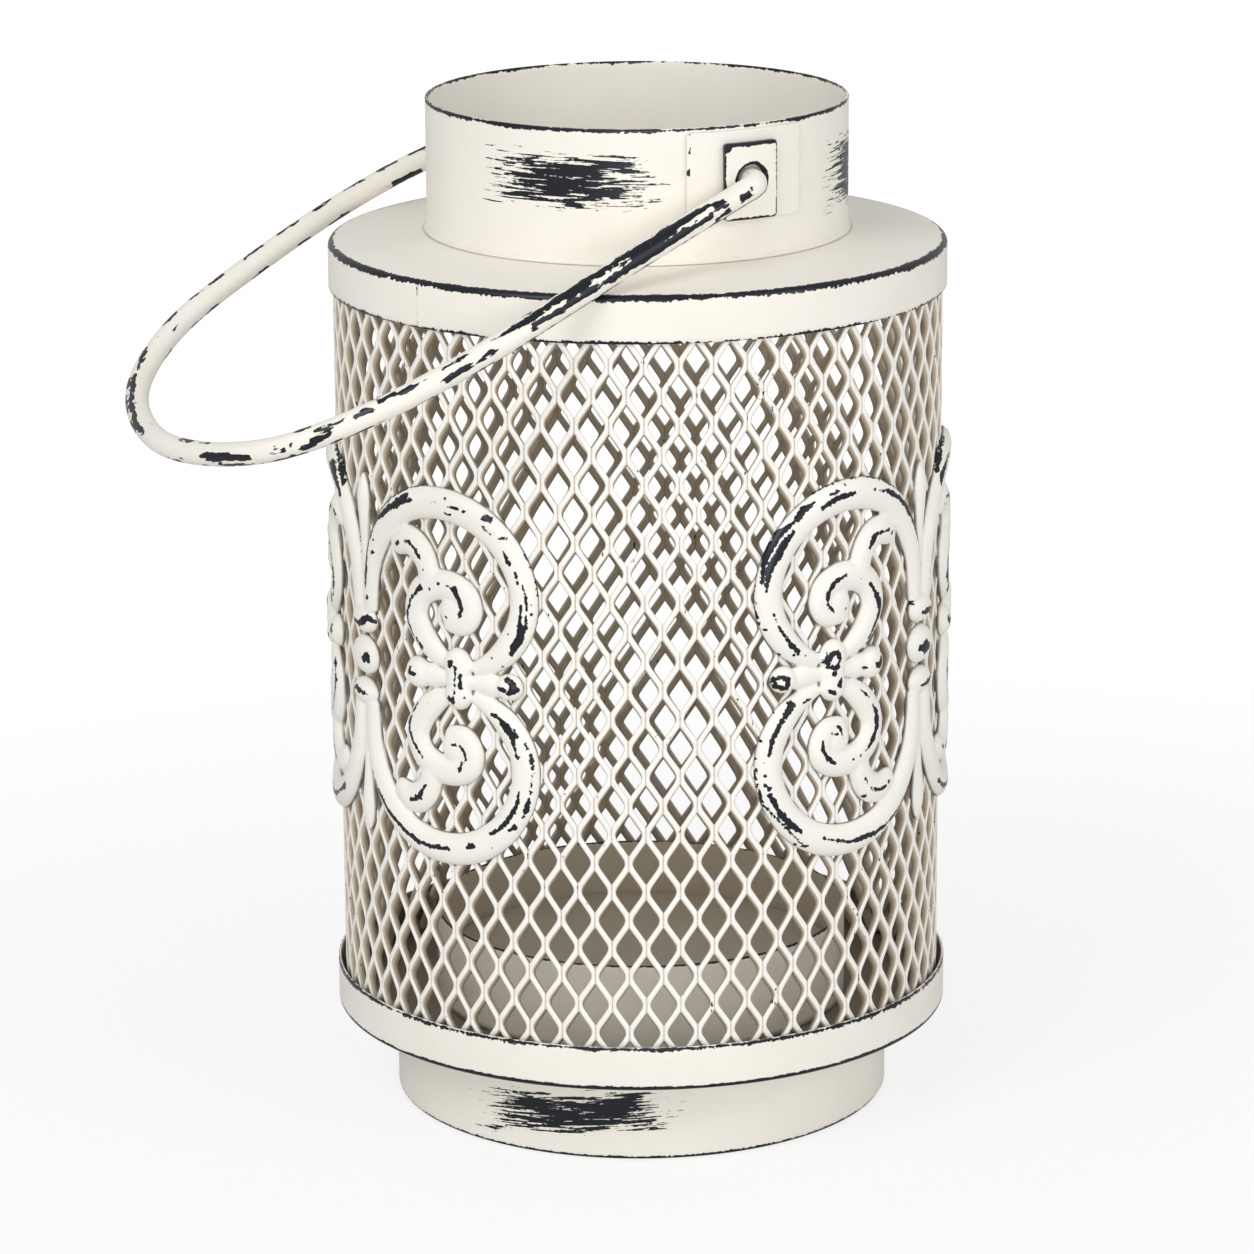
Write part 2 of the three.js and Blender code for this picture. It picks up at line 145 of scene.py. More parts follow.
# Chips in the rod's paint, as lines of (distance along, distance round from the front side, half width)
HANDLE_CHIPS = [
    [(8.5, 0.2, 0.3)], [(9, 1.9, 0.3)], [(10.3, 1.4, 0.8), (12, 1.4, 0.5)], [(17, -1.1, 0.35),
    (19.7, -1.1, 0.35)], [(16.7, 0.3, 0.15), (19.9, 0.3, 0.15)], [(17, 2.5, 0.25), (21, 2.5, 0.25)],
    [(21, -2, 0.4), (27, -2.1, 0.85), (42, -2, 0.95), (58, -2, 1), (72, -2, 0.8), (81, -1.9, 0.7),
    (88, -1.8, 0.2)], [(22, 0.8, 0.3), (28, 0.8, 0.7), (45, 0.8, 0.8), (60, 0.8, 0.75), (70, 0.7, 0.6),
    (78, 0.6, 0.2)], [(6, 3.9, 0.2), (60, 4, 0.2), (150, 3.9, 0.1)], [(87, 0.8, 0.2), (92, 0.9, 0.6),
    (98, 0.9, 0.6), (104, 0.9, 0.2)], [(95, -2.3, 0.35), (101, -2.3, 0.35)], [(107.5, -1.6, 0.35),
    (112.5, -1.6, 0.35)], [(114, -2.3, 0.3), (118, -2.3, 0.3)], [(120.5, -0.9, 0.35), (124.5, -0.9, 0.4)],
    [(127.5, -1.2, 0.3), (134.5, -1.2, 0.3)], [(132, 0.6, 0.35), (136, 0.6, 0.4)], [(136, 1.6, 0.4),
    (139, 1.6, 0.4)], [(136.5, -3.3, 0.3), (139.5, -3.3, 0.3)], [(141, 0, 0.2)], [(143.5, 0.8, 0.2)],
    [(145.5, -0.5, 0.15)], [(153, 0.75, 0.4), (158, 0.8, 1), (165, 0.7, 1.1), (169, 0.6, 0.4)],
    [(156, 3, 0.3), (163, 3.1, 0.3)], [(142, 3.6, 0.3), (146, 3.6, 0.3)], [(151, 3.7, 0.3),
    (155, 3.7, 0.2)], [(168, 3.6, 0.3), (173, 3.6, 0.3)], [(179, 3.7, 0.3), (184, 3.7, 0.2)],
    [(168, -3.2, 0.25), (171, -3.2, 0.25)], [(175, -3.3, 0.3), (180, -3.3, 0.3)], [(198, 1.4, 0.5),
    (205, 1.5, 0.8), (210, 1.3, 0.4)], [(212, 1.4, 0.7), (219, 1.6, 0.7), (222, 1.4, 0.4)],
    [(223, 1.2, 0.4), (232, 1.5, 0.6)], [(234, 1.6, 0.4), (239, 2.4, 0.6), (245, 3.4, 0.6)],
    [(204, 3.3, 0.5), (209, 3.4, 0.5)], [(214, 3.2, 0.4), (222, 3.4, 0.6)], [(227, 3.1, 0.5),
    (231, 3.3, 0.5)], [(250, 1.6, 0.25)], [(256, 3.4, 0.5), (261, 3.4, 0.5)], [(267, 3.4, 0.4),
    (271, 3.4, 0.4)], [(332, 3.3, 0.5), (337, 3.3, 0.4)], [(247, -3.8, 0.5), (250, -3.8, 0.4)],
    [(261, -3.8, 0.4), (264, -3.8, 0.4)], [(268, -3.8, 0.4), (272, -3.8, 0.3)], [(274, 3.3, 0.5),
    (278, 3.4, 0.4)], [(285, -3.6, 0.4), (290, -3.6, 0.4)], [(286, 3.3, 0.4), (292, 3.3, 0.6)],
    [(298, 3.3, 0.4), (305, 3.3, 0.6)], [(302, -3.6, 0.4), (305, -3.6, 0.3)], [(310, 3.3, 0.6),
    (316, 3.4, 0.3)], [(312, -3.6, 0.4), (318, -3.6, 0.4)], [(320, 3.3, 0.3), (326, 3.2, 0.6)],
    [(328, 1.2, 0.3)], [(341, 3.3, 0.5), (347, 3.3, 0.5)], [(284, 0.6, 0.25)], [(295, -1.4, 0.3)],
    [(33, -0.6, 0.5), (42, -0.5, 0.8), (50, -0.6, 0.5)], [(60, -0.7, 0.3), (66, -0.6, 0.6)], [(334, -3, 1),
    (341, -3, 1.2)],
]

# Sizes of the ornaments, drawn flat as distance along the mesh, height from the middle and line width
SCROLL_PLACES = {"left": (-61.6, 127.2), "right": (64, 128.4)}
SCROLL_BACK = MESH_RADIUS + 0.1
BAR_RELIEF = 2.5
BEAD_RELIEF = 3.1
RELIEF_LIMIT = 3
SCROLL_VOXEL = 0.38
OUTER_LOOP = [
    (3.3, 12, 5.6), (3.5, 18, 6.4), (4.6, 24.5, 6.8), (7.6, 31, 7.6), (12.7, 37.6, 8.2), (20.8, 42.7, 8.4),
    (31, 44.5, 8.5), (40.5, 42.8, 8.5), (48.2, 37.8, 8.2), (53, 31, 7.9), (55.1, 24, 7.7),
    (54.4, 16.6, 7.8), (50.6, 9.8, 7.4), (45.6, 5.6, 5.6), (40.8, 3.6, 3.6),
]
INNER_SCROLL = [
    (34, 4, 3.6), (29, 6.6, 6.6), (24.8, 10.6, 7.8), (22.6, 15.4, 8.1), (24.3, 20.6, 8.2), (29.2, 23.5, 8),
    (34.8, 23.8, 8), (39.2, 21.6, 7.8), (40, 17.8, 7.4), (38, 14.9, 6.8), (34.9, 14.8, 6.2),
]
SCROLL_EYE = ((35.2, 17.5), (4.2, 4.6))
HOOK = [(27.4, 24.6, 7), (26.6, 28.4, 7.6), (24.2, 31.8, 8.2), (20.6, 33.4, 8.2), (16.6, 32.2, 6.4)]
KNOB_NECK = [(22, 0, 5), (27, 0, 6.6), (33, 0, 4), (41, 0, 4), (46, 0, 6), (51, 0, 5)]
LEAF = [
    (0, 10, 3), (0, 22, 3), (0, 30, 3.8), (0, 36, 5), (0, 40.5, 5.8), (0, 43.5, 5), (0, 45.8, 3),
    (0, 47, 0.8),
]
# Each stroke with the number of rings that it is swept in
STROKES = [(OUTER_LOOP, 110), (INNER_SCROLL, 70), (HOOK, 34), (KNOB_NECK, 20), (LEAF, 34)]
# Beads as place and half axes
BEADS = [
    ((0, -0.4), (6.6, 5.1)), ((0, 9.1), (5.9, 3.8)), ((0, -9.9), (5.9, 3.6)), ((23.4, 0), (4.3, 4.2)),
    ((51.2, 0.2), (3.7, 3.5)), ((36.5, 4.1), (4.2, 4.5)), ((36.5, 0.4), (3.5, 5)), ((36.5, -3.4), (4, 4.2)),
]

# The half of an ornament that faces away is chipped like its front half, from this far past the middle
FAR_CHIPS_FROM = 12

# Where the chips of each ornament are measured from: angle round the lantern and height
CHIP_ORIGINS = {"left": (-60.3, 128.3), "right": (64, 128.3)}

# Chips in the ornaments' paint and thin dark lines along their outer edges, as lines of (distance along the
# mesh, height, half width)
SCROLL_CHIPS = {
    "left": [
        [(1.3, 17, 0.2), (1.7, 21, 0.4), (2.4, 26, 0.4), (4, 31, 0.4), (6.5, 35.5, 0.3), (8.5, 38.8, 0.35),
        (13, 42.8, 0.35), (20, 46.6, 0.3), (26, 48.1, 0.3), (31, 48.4, 0.25), (36, 47.7, 0.2),
        (42, 45.8, 0.15), (48, 42, 0.1), (52.5, 36.5, 0.1), (56, 29.5, 0.1), (57.5, 22, 0.15),
        (57, 15, 0.1), (55, 10, 0.05)], [(2.3, 27.5, 0.2), (4, 31, 0.8), (6, 34.5, 0.5), (8.5, 36.7, 0.45),
        (10.5, 38, 0.7), (13, 40, 0.8), (15.5, 41.3, 0.75), (18.5, 42.6, 0.6), (21.5, 43.5, 0.3)],
        [(15.5, 42.4, 0.5), (19.3, 44, 0.8)], [(4.8, 26.6, 0.15), (5.6, 27.1, 0.2)], [(6.2, 30.3, 0.15)],
        [(28, 44.1, 0.15), (29.5, 44.1, 0.15)], [(33.5, 43.6, 0.2), (36.5, 43.6, 0.4)], [(38, 42.9, 0.25)],
        [(32.3, 41.7, 0.05), (35, 41.5, 0.05)], [(32.3, 45.6, 0.1)], [(43.6, 42.2, 0.45),
        (45.2, 41.4, 0.6)], [(43, 40, 0.2), (45.5, 38.2, 0.2)], [(47.5, 37.6, 0.1), (49.6, 37.2, 0.2)],
        [(48.9, 34.3, 0.1), (49.6, 32.5, 0.45), (50.6, 31, 0.3)], [(52.2, 31, 0.15)], [(52, 29, 0.35),
        (52.8, 26.5, 0.2)], [(53.8, 26, 0.1), (54.7, 23, 0.15), (54.8, 19, 0.15), (54.3, 15, 0.3)],
        [(53.5, 21, 0.1), (53, 17, 0.3), (53.4, 14, 0.9), (52.5, 11.5, 0.9), (51, 9, 0.65),
        (50.3, 7.6, 0.3)], [(50, 13, 0.1)], [(47.5, 8.3, 0.2)], [(45.3, 6.5, 0.15)], [(48, 4.5, 0.3)],
        [(55.8, 18.7, 0.25)], [(55.8, 21, 0.15)], [(42, -8.5, 0.15)], [(45.3, -8, 0.35), (47, -8.7, 0.45),
        (49, -10.8, 0.95), (50.5, -12.5, 0.75), (50.8, -14.5, 0.4), (52, -18.5, 0.35)], [(51, -11.5, 0.25),
        (52, -13, 0.15)], [(54, -14.5, 0.25), (54.3, -16, 0.25)], [(55.3, -17.5, 0.2), (55.8, -22, 0.2),
        (55.3, -26.5, 0.2), (54.5, -29.5, 0.2), (54.2, -31.5, 0.45), (53.3, -33.5, 0.4)], [(52.3, -27, 0.1),
        (51.8, -30, 0.4), (50.3, -33.3, 0.55), (48.8, -35.5, 0.65), (47, -37.5, 0.45), (44.3, -39.1, 0.35)],
        [(51, -36.3, 0.6), (49.5, -37.5, 0.2)], [(44.8, -42.7, 0.25)], [(37.5, -43.7, 0.15),
        (38.8, -43, 0.55), (39.8, -42.8, 0.25)], [(1.5, -27, 0.1), (2.8, -30, 0.15), (4.5, -33, 0.25),
        (7, -36.2, 0.45), (9.5, -38.5, 0.45), (12, -40.3, 0.55), (15, -42, 0.45), (18.5, -43.7, 0.45),
        (22, -45, 0.45), (26, -45.4, 0.45), (32.3, -44.9, 0.35)], [(24.2, 21.5, 0.65), (22.5, 20, 0.35),
        (20.8, 17.8, 0.25), (19.4, 14.5, 0.45), (19.6, 12, 0.35), (21.5, 8.2, 0.15)], [(22.5, 8.2, 0.4),
        (24.4, 6, 0.4)], [(32.5, 23.3, 0.15), (34.8, 22.8, 0.6), (36, 20.5, 0.55), (37, 18.3, 0.75),
        (36.5, 16.3, 0.35), (36.1, 15.7, 0.15)], [(32.2, 15.4, 0.25)], [(30.1, 23.6, 0.25)],
        [(27.3, 21.7, 0.15)], [(15.6, 31.2, 0.45), (16.7, 32, 0.45)], [(25.3, 26.2, 0.15)],
        [(25.8, -8, 0.2)], [(19.3, 32.2, 0.45), (20.5, 32.6, 0.55), (22.3, 31.3, 0.35), (24.2, 29.2, 0.25)],
        [(33.5, 4, 0.4), (33.8, 3, 0.55), (34.3, 4.2, 0.35)], [(35.2, 2.8, 0.45), (35.2, 0, 0.15),
        (35, -4, 0.1)], [(36.5, 1, 0.25), (36.6, -2.3, 0.35)], [(33.2, -5.4, 0.55), (34.5, -6.2, 0.45),
        (34.6, -5, 0.35)], [(37.3, -4.8, 0.25)], [(49, 1.5, 0.35), (50.8, 0.8, 0.6), (51.3, -1, 0.95),
        (50, -1.8, 0.65)], [(47.5, -0.8, 0.45), (49, -1.3, 0.55)], [(49.8, -3, 0.2)], [(48.5, -5.5, 0.2)],
        [(20.5, 0.4, 0.25), (20.8, -1, 0.65), (22, -1.1, 0.35)], [(22.3, -8.8, 0.2), (20.8, -11, 0.25),
        (19.5, -14, 0.35), (19.8, -16.5, 0.25), (21, -19, 0.25), (24, -22.5, 0.35)], [(33.8, -17.3, 0.15),
        (34.5, -17.2, 0.15)], [(36, -17.5, 0.1), (37.3, -19, 0.15), (37.7, -20.5, 0.2), (37, -22, 0.15)],
        [(36.5, -21.7, 0.35), (35.8, -23.6, 0.45)], [(25, -29.7, 0.25), (24, -31, 0.35), (22.8, -33, 0.75),
        (21, -34, 0.45), (19.4, -34.6, 0.25)], [(0.8, -1.9, 0.8), (2, -1, 1), (2.5, -2.2, 0.5)],
        [(-3.5, 7.5, 0.4), (-1, 7, 0.5), (1, 8.3, 1), (2, 9, 0.9), (3.8, 8.3, 0.2)], [(-10, -10.8, 0.3),
        (-5, -10.8, 0.2), (-2.8, -10, 0.6), (-1.8, -10.5, 0.9), (0.5, -10.8, 0.6), (2, -11, 0.2)],
        [(1.2, 14, 0.4), (1.9, 14.3, 0.5)], [(-10, 42, 0.5), (-6.5, 37, 0.7), (-4, 31, 0.5),
        (-3.2, 25, 0.2)],
    ],
    "right": [
        [(-9, 39.5, 0.2), (-15, 44.3, 0.3), (-20, 46.8, 0.3), (-27, 49, 0.2), (-33, 49.3, 0.25),
        (-40, 47.8, 0.25), (-45, 45.6, 0.15)], [(-59.4, 24, 0.15), (-58.9, 16, 0.1), (-56.5, 10, 0.15),
        (-53, 6, 0.15)], [(-52, -4.2, 0.1), (-57, -9.4, 0.1), (-59.2, -16, 0.1), (-59.3, -22, 0.1),
        (-57, -31, 0.1), (-46, -43.3, 0.1)], [(-43, 44.7, 0.2), (-46, 43.2, 0.5), (-49, 40.5, 0.5),
        (-52.5, 38, 0.5), (-55, 34.5, 0.6), (-57, 30, 0.5), (-57.6, 26, 0.2)], [(-49.2, 38.2, 0.5),
        (-51.5, 35.8, 0.9), (-54, 32, 0.9), (-55.9, 29, 0.8), (-56.5, 24, 0.2)], [(-58.6, 28, 0.2)],
        [(-58.9, 25, 0.25)], [(-58.7, 21, 0.25)], [(-58.5, 17, 0.2)], [(-57.9, 15.5, 0.15)],
        [(-56.5, 14, 0.35)], [(-41, 43, 0.45), (-38, 44.4, 0.55), (-35, 45, 0.55), (-31, 45.3, 0.35)],
        [(-38.5, 46, 0.15), (-36, 46.5, 0.2)], [(-33.5, 47.6, 0.15)], [(-24, 45, 0.2)],
        [(-22.2, 44.5, 0.25), (-20.8, 43.8, 0.35)], [(-20, 44.2, 0.25), (-18, 43.2, 0.55), (-14, 41, 0.7),
        (-11, 38.5, 0.7), (-8, 35, 0.7), (-5.5, 31, 0.65), (-3.5, 27.5, 0.5), (-2.3, 24, 0.25),
        (-1.9, 21, 0.35), (-1.6, 18.7, 0.15)], [(-54.8, 18, 0.1), (-53, 14, 0.1), (-51.5, 11.5, 0.25),
        (-49.5, 9, 0.45), (-47.7, 7.3, 0.45)], [(-52.5, 6.8, 0.45)], [(-49, 6.7, 0.15)], [(-45.5, 6, 0.1)],
        [(-43.5, 5.2, 0.1)], [(-25.5, 21.3, 0.2), (-23.6, 18.8, 0.55), (-22, 15.8, 0.75), (-22, 12.8, 0.65),
        (-23.6, 10, 0.25), (-25.5, 7, 0.35)], [(-33.5, 24.8, 0.15), (-36, 24.2, 0.35), (-38, 23, 0.75),
        (-39.2, 21, 0.55), (-39.5, 19.5, 0.45), (-38.8, 17.5, 0.2), (-37.3, 16.1, 0.15)],
        [(-33.6, 16.3, 0.15)], [(-30.5, 23.3, 0.1)], [(-28.5, 23, 0.1)], [(-25.7, 30.5, 0.35),
        (-24.8, 31.8, 0.55), (-23.3, 33.4, 0.55), (-22, 33.7, 0.35), (-20, 33.6, 0.15), (-18.5, 33.7, 0.2)],
        [(-16.7, 32.4, 0.45)], [(-20.5, 38.2, 0.2)], [(-39.5, 3.5, 0.5), (-38.5, 5.3, 0.55),
        (-36.5, 5.6, 0.5), (-36, 3.8, 0.4), (-36.7, 1.8, 0.4), (-38.8, 2, 0.4), (-39.5, 3.5, 0.4)],
        [(-37.6, 0.3, 0.5)], [(-36, -2.8, 0.55), (-35.5, -1.8, 0.3)], [(-38.5, -4.3, 0.5),
        (-37.3, -5, 0.4)], [(-54.4, 1, 0.4), (-53.8, -1, 0.5), (-51.5, -1.2, 0.7), (-51, 0.5, 0.6),
        (-52.5, 1.7, 0.4), (-54.4, 1, 0.4)], [(-23.8, 0.3, 0.3), (-22.5, -0.5, 0.6), (-21.7, 0.5, 0.5),
        (-21.5, 1.5, 0.2)], [(-28, 0, 0.15), (-26.2, -0.4, 0.15)], [(-3.3, -0.5, 0.6), (-1, -0.8, 1.8),
        (0.8, -1, 0.9)], [(-2.5, 8.8, 0.3), (0, 8.6, 0.8), (2.5, 8.2, 0.5), (4.2, 7.9, 0.2)],
        [(-5, 11.5, 0.4)], [(-2.8, -10.5, 0.2), (0.5, -10.3, 0.7), (3.8, -9.9, 0.7)], [(-49.5, -6.2, 0.95),
        (-51.5, -8.8, 0.55), (-53.5, -11.5, 0.6), (-55, -15, 0.55), (-55.8, -18, 0.4)], [(-46, -5.9, 0.35),
        (-43.8, -5.4, 0.2)], [(-53.8, -7.6, 0.3)], [(-57, -12, 0.2)], [(-57.4, -14.5, 0.2)],
        [(-58.4, -16, 0.15)], [(-58.7, -19, 0.3)], [(-57, -20, 0.15)], [(-58.6, -22, 0.15)],
        [(-56.6, -23.5, 0.3)], [(-56.5, -25.8, 0.4), (-55.8, -27, 0.35)], [(-55.6, -28.5, 0.35),
        (-54.3, -31, 0.75), (-52.5, -34, 0.75), (-50, -36.8, 0.75), (-47, -39.3, 0.6)], [(-48, -42.8, 0.2)],
        [(-45.2, -43.6, 0.3)], [(-40.2, -42.4, 0.35), (-37.5, -43.2, 0.2), (-35, -43.9, 0.4),
        (-32, -44.8, 0.55), (-28, -44.6, 0.65), (-23, -44.4, 0.55), (-19, -43.4, 0.45),
        (-15.5, -41.8, 0.45), (-11, -38.9, 0.55), (-7, -35, 0.55), (-4.5, -30.5, 0.45), (-3.3, -27, 0.35),
        (-2, -23, 0.35), (-1.3, -19, 0.25), (-1.2, -16.3, 0.15)], [(-28.5, -5.5, 0.05),
        (-25.5, -8.2, 0.05)], [(-24.2, -10.3, 0.25), (-22.8, -13, 0.65), (-22.6, -16, 0.65),
        (-23.6, -18.8, 0.45), (-25.5, -21, 0.2), (-26.8, -22, 0.15)], [(-28.5, -22.8, 0.1)],
        [(-31, -23.3, 0.15)], [(-34, -23.5, 0.1)], [(-40.6, -17, 0.35), (-40.8, -19, 0.4),
        (-39.3, -21.5, 0.45), (-38, -22.5, 0.55), (-36.7, -23.3, 0.2)], [(-38.3, -15.4, 0.2),
        (-36.5, -15.8, 0.2)], [(-36, -13.6, 0.15), (-34.8, -15, 0.2), (-34.5, -17, 0.1)],
        [(-26.6, -29.3, 0.2), (-26, -30.5, 0.1)], [(-25, -31.8, 0.2), (-22.8, -33, 0.35),
        (-20.8, -33.3, 0.2), (-18.8, -32.9, 0.1)], [(-17.4, -32.3, 0.45)], [(-26, -34.2, 0.4)],
    ],
}

# The paint's surface: sizes in millimetres, and shares
SPECK_SPACING = 5.5
SPECK_SIZE = 0.028
MOTTLING = 0.38
PAINT_ROUGHNESS = 0.47
METAL_ROUGHNESS = 0.31
BUMP_HEIGHT = 0.12
NO_EDGE_NEAR = 9.0

# Paint and metal, as linear colours
CREAM = (0.90, 0.868, 0.792, 1)
CREAM_SHADE = (0.82, 0.775, 0.685, 1)
# Painted light: the ornaments' cream is lighter than the rest, for their brighter highlights
SCROLL_CREAM_LIT = (0.92, 0.895, 0.83, 1)
STRAND_FRONT = (0.94, 0.92, 0.87, 1)
# Painted shade along the strands' edges and near the bonds
STRAND_EDGE_SHADE = (0.62, 0.53, 0.41, 1)
# Painted shade on the strands' inner faces
STRAND_INSIDE_SHADE = (0.38, 0.315, 0.235, 1)
# Painted shade inside the base pan
PAN_INSIDE_SHADE = (0.20, 0.165, 0.12, 1)
# Painted shade inside the candle cup
CUP_INSIDE_SHADE = (0.50, 0.44, 0.35, 1)
CUP_OUTSIDE = (0.82, 0.77, 0.67, 1)
DIRT = (0.30, 0.25, 0.19, 1)
# Painted shadow at the ornaments' foot
FOOT_SHADOW_PAINT = (0.14, 0.12, 0.095, 1)
DARK_METAL = (0.018, 0.020, 0.028, 1)

# The floor: millimetres, colours, and the white that the camera sees near the lantern and far from it; the
# dimmer white near the lantern is painted shadow
FLOOR_HALF = 2500
FLOOR_FADE = 900
FLOOR_MATT = (0.72, 0.72, 0.72, 1)
FLOOR_SHADOW = (0.22, 0.22, 0.22, 1)
FLOOR_GLOW_IN_PAINTED_SHADOW = 0.77
FLOOR_FAR_GLOW = 0.95

# The lamps: name, place, target and size in metres, and power in watts
LAMPS = [
    ("key", (-0.9, -1.3, 1.5), (0, 0, 0.13), 1.1, 13),
    ("fill", (1.3, -1.0, 0.9), (0, 0, 0.13), 1.2, 6),
    ("low", (0.1, -1.9, 0.2), (0, 0, 0.06), 1.2, 11),
]
WORLD_STRENGTH = 0.55


# Camera

CAMERA_PLACE = (-0.00325, -1.32474, 0.48044)
CAMERA_PITCH = 15.086
CAMERA_ROLL = -0.327
CAMERA_LENS = 151.06


def make_camera():
    """The camera that sees the lantern as the photograph does, fitted to its rims."""
    data = bpy.data.cameras.new("camera")
    data.sensor_width = 36
    data.lens = CAMERA_LENS
    camera = bpy.data.objects.new("camera", data)
    bpy.context.scene.collection.objects.link(camera)
    tilt = Matrix.Rotation(math.radians(90 - CAMERA_PITCH), 4, "X")
    roll = Matrix.Rotation(math.radians(CAMERA_ROLL), 4, "Z")
    camera.matrix_world = Matrix.Translation(CAMERA_PLACE) @ tilt @ roll
    bpy.context.scene.camera = camera


# Material building


class Finish:
    """A material under construction, with short ways to add its nodes."""

    def __init__(self, name):
        self.material = bpy.data.materials.new(name)
        self.material.use_nodes = True
        self.tree = self.material.node_tree
        self.tree.nodes.clear()
        coordinates = self.node("ShaderNodeTexCoord").outputs["Object"]
        in_millimetres = {"Vector": coordinates, "Scale": 1 / MM}
        self.place = self.node("ShaderNodeVectorMath", in_millimetres, operation="SCALE").outputs[0]
        parts = self.node("ShaderNodeSeparateXYZ", {0: self.place})
        self.x, self.y, self.z = parts.outputs
        self.reach = self.math("SQRT", self.plus(self.power(self.x, 2), self.power(self.y, 2)))
        self.turn = self.times(self.math("ARCTAN2", self.x, self.times(self.y, -1)), 180 / math.pi)

    def node(self, kind, inputs=None, **settings):
        """Adds a node, with its settings and with its inputs by name or number."""
        made = self.tree.nodes.new(kind)
        for key, value in settings.items():
            setattr(made, key, value)
        for key, value in (inputs or {}).items():
            self.feed(made.inputs[key], value)
        return made

    def feed(self, socket, value):
        """Links a socket to another node's output, or sets it to a plain value."""
        if isinstance(value, bpy.types.NodeSocket):
            self.tree.links.new(value, socket)
        else:
            socket.default_value = value

    def math(self, operation, first, second=0.0):
        return self.node("ShaderNodeMath", {0: first, 1: second}, operation=operation).outputs[0]

    def plus(self, first, second):
        return self.math("ADD", first, second)

    def minus(self, first, second):
        return self.math("SUBTRACT", first, second)

    def times(self, first, second):
        return self.math("MULTIPLY", first, second)

    def over(self, first, second):
        return self.math("DIVIDE", first, second)

    def power(self, base, exponent):
        return self.math("POWER", base, exponent)

    def absolute(self, value):
        return self.math("ABSOLUTE", value)

    def opposite(self, value):
        """1 where the value is 0, and 0 where it is 1."""
        return self.minus(1, value)

    def combine(self, x, y, z=0.0):
        return self.node("ShaderNodeCombineXYZ", {0: x, 1: y, 2: z}).outputs[0]

    def attribute(self, name):
        return self.node("ShaderNodeAttribute", attribute_name=name)

    def noise(self, vector, wavelength, detail=2.0, seed=0.0):
        """Smooth random value about 0, mostly within 0.5, that varies over the wavelength in millimetres."""
        inputs = {"Vector": vector, "W": seed, "Scale": 1 / wavelength, "Detail": detail, "Roughness": 0.55}
        made = self.node("ShaderNodeTexNoise", inputs, noise_dimensions="4D")
        return self.minus(self.times(made.outputs["Fac"], 2), 1)

    def step(self, value, low=-0.05, high=0.05):
        """0 below the low value, 1 above the high one."""
        inputs = {"Value": value, "From Min": low, "From Max": high}
        return self.node("ShaderNodeMapRange", inputs, interpolation_type="SMOOTHSTEP").outputs["Result"]

    def blotches(self, wavelength, detail, seed, low, high):
        """1 in random patches, where the noise is above the high value, 0 where it is below the low one."""
        return self.step(self.noise(self.place, wavelength, detail, seed), low, high)

    def most(self, values):
        result = values[0]
        for value in values[1:]:
            result = self.math("MAXIMUM", result, value)
        return result

    def mix(self, share, first, second):
        made = self.node("ShaderNodeMix", data_type="RGBA")
        self.feed(made.inputs["Factor"], share)
        self.feed(made.inputs[6], first)
        self.feed(made.inputs[7], second)
        return made.outputs[2]

    def worn_edges(self, fine=0.9, slow=0.5, seed=0.0, more=0.0):
        """Paint worn off along the edges, by the gap attribute in millimetres, with a ragged border."""
        ragged = self.times(self.noise(self.place, 1.0, 3, seed), fine)
        uneven = self.times(self.noise(self.place, 4, 2, seed + 7), 0.7 * fine)
        wide = self.times(self.noise(self.place, 24, 1, seed + 3), slow)
        reach = self.plus(self.plus(ragged, uneven), self.plus(wide, more))
        return self.step(self.minus(reach, self.attribute("gap").outputs["Fac"]))

    def rubbed_patch(self, radius, angle, half_angle, height, half_height, seed, lean):
        """Paint rubbed off in streaks inside a window on the outside of a ring.

        The streaks are level, or rise by lean millimetres in each millimetre to the right.
        """
        sideways = self.times(self.minus(self.turn, angle), math.radians(radius))
        level_z = self.minus(self.z, self.times(sideways, lean))
        across = self.over(self.minus(self.turn, angle), half_angle)
        up = self.over(self.minus(level_z, height), half_height)
        from_middle = self.most([self.power(self.absolute(across), 2.2), self.power(self.absolute(up), 2.6)])
        window = self.opposite(from_middle)
        along = self.times(self.turn, math.radians(radius))
        long_and_thin = self.combine(self.over(along, 12), self.over(level_z, 0.8))
        longer_and_thinner = self.combine(self.over(along, 9), self.over(level_z, 0.5))
        streaks = self.noise(long_and_thin, 1, 3, seed)
        slits = self.noise(longer_and_thinner, 1, 2, seed + 2)
        grain = self.noise(self.combine(self.over(along, 2), self.z), 0.6, 2, seed + 1)
        level = self.times(self.minus(window, 0.375), 0.56)
        texture = self.plus(self.times(streaks, 1.1), self.times(grain, 0.35))
        texture = self.plus(texture, self.times(slits, 0.85))
        on_outside = self.math("GREATER_THAN", self.reach, radius - 0.4)
        return self.times(self.step(self.plus(level, texture), 0.0, 0.06), on_outside)

    def specks(self):
        """Sparse tiny dark spots in the paint."""
        inputs = {"Vector": self.place, "W": 0.0, "Scale": 1 / SPECK_SPACING}
        cells = self.node("ShaderNodeTexVoronoi", inputs, voronoi_dimensions="4D")
        chosen = self.blotches(SPECK_SPACING * 3, 1, 5.0, 0.05, 0.15)
        near = self.opposite(self.step(cells.outputs["Distance"], SPECK_SIZE * 0.7, SPECK_SIZE * 1.3))
        return self.times(near, chosen)

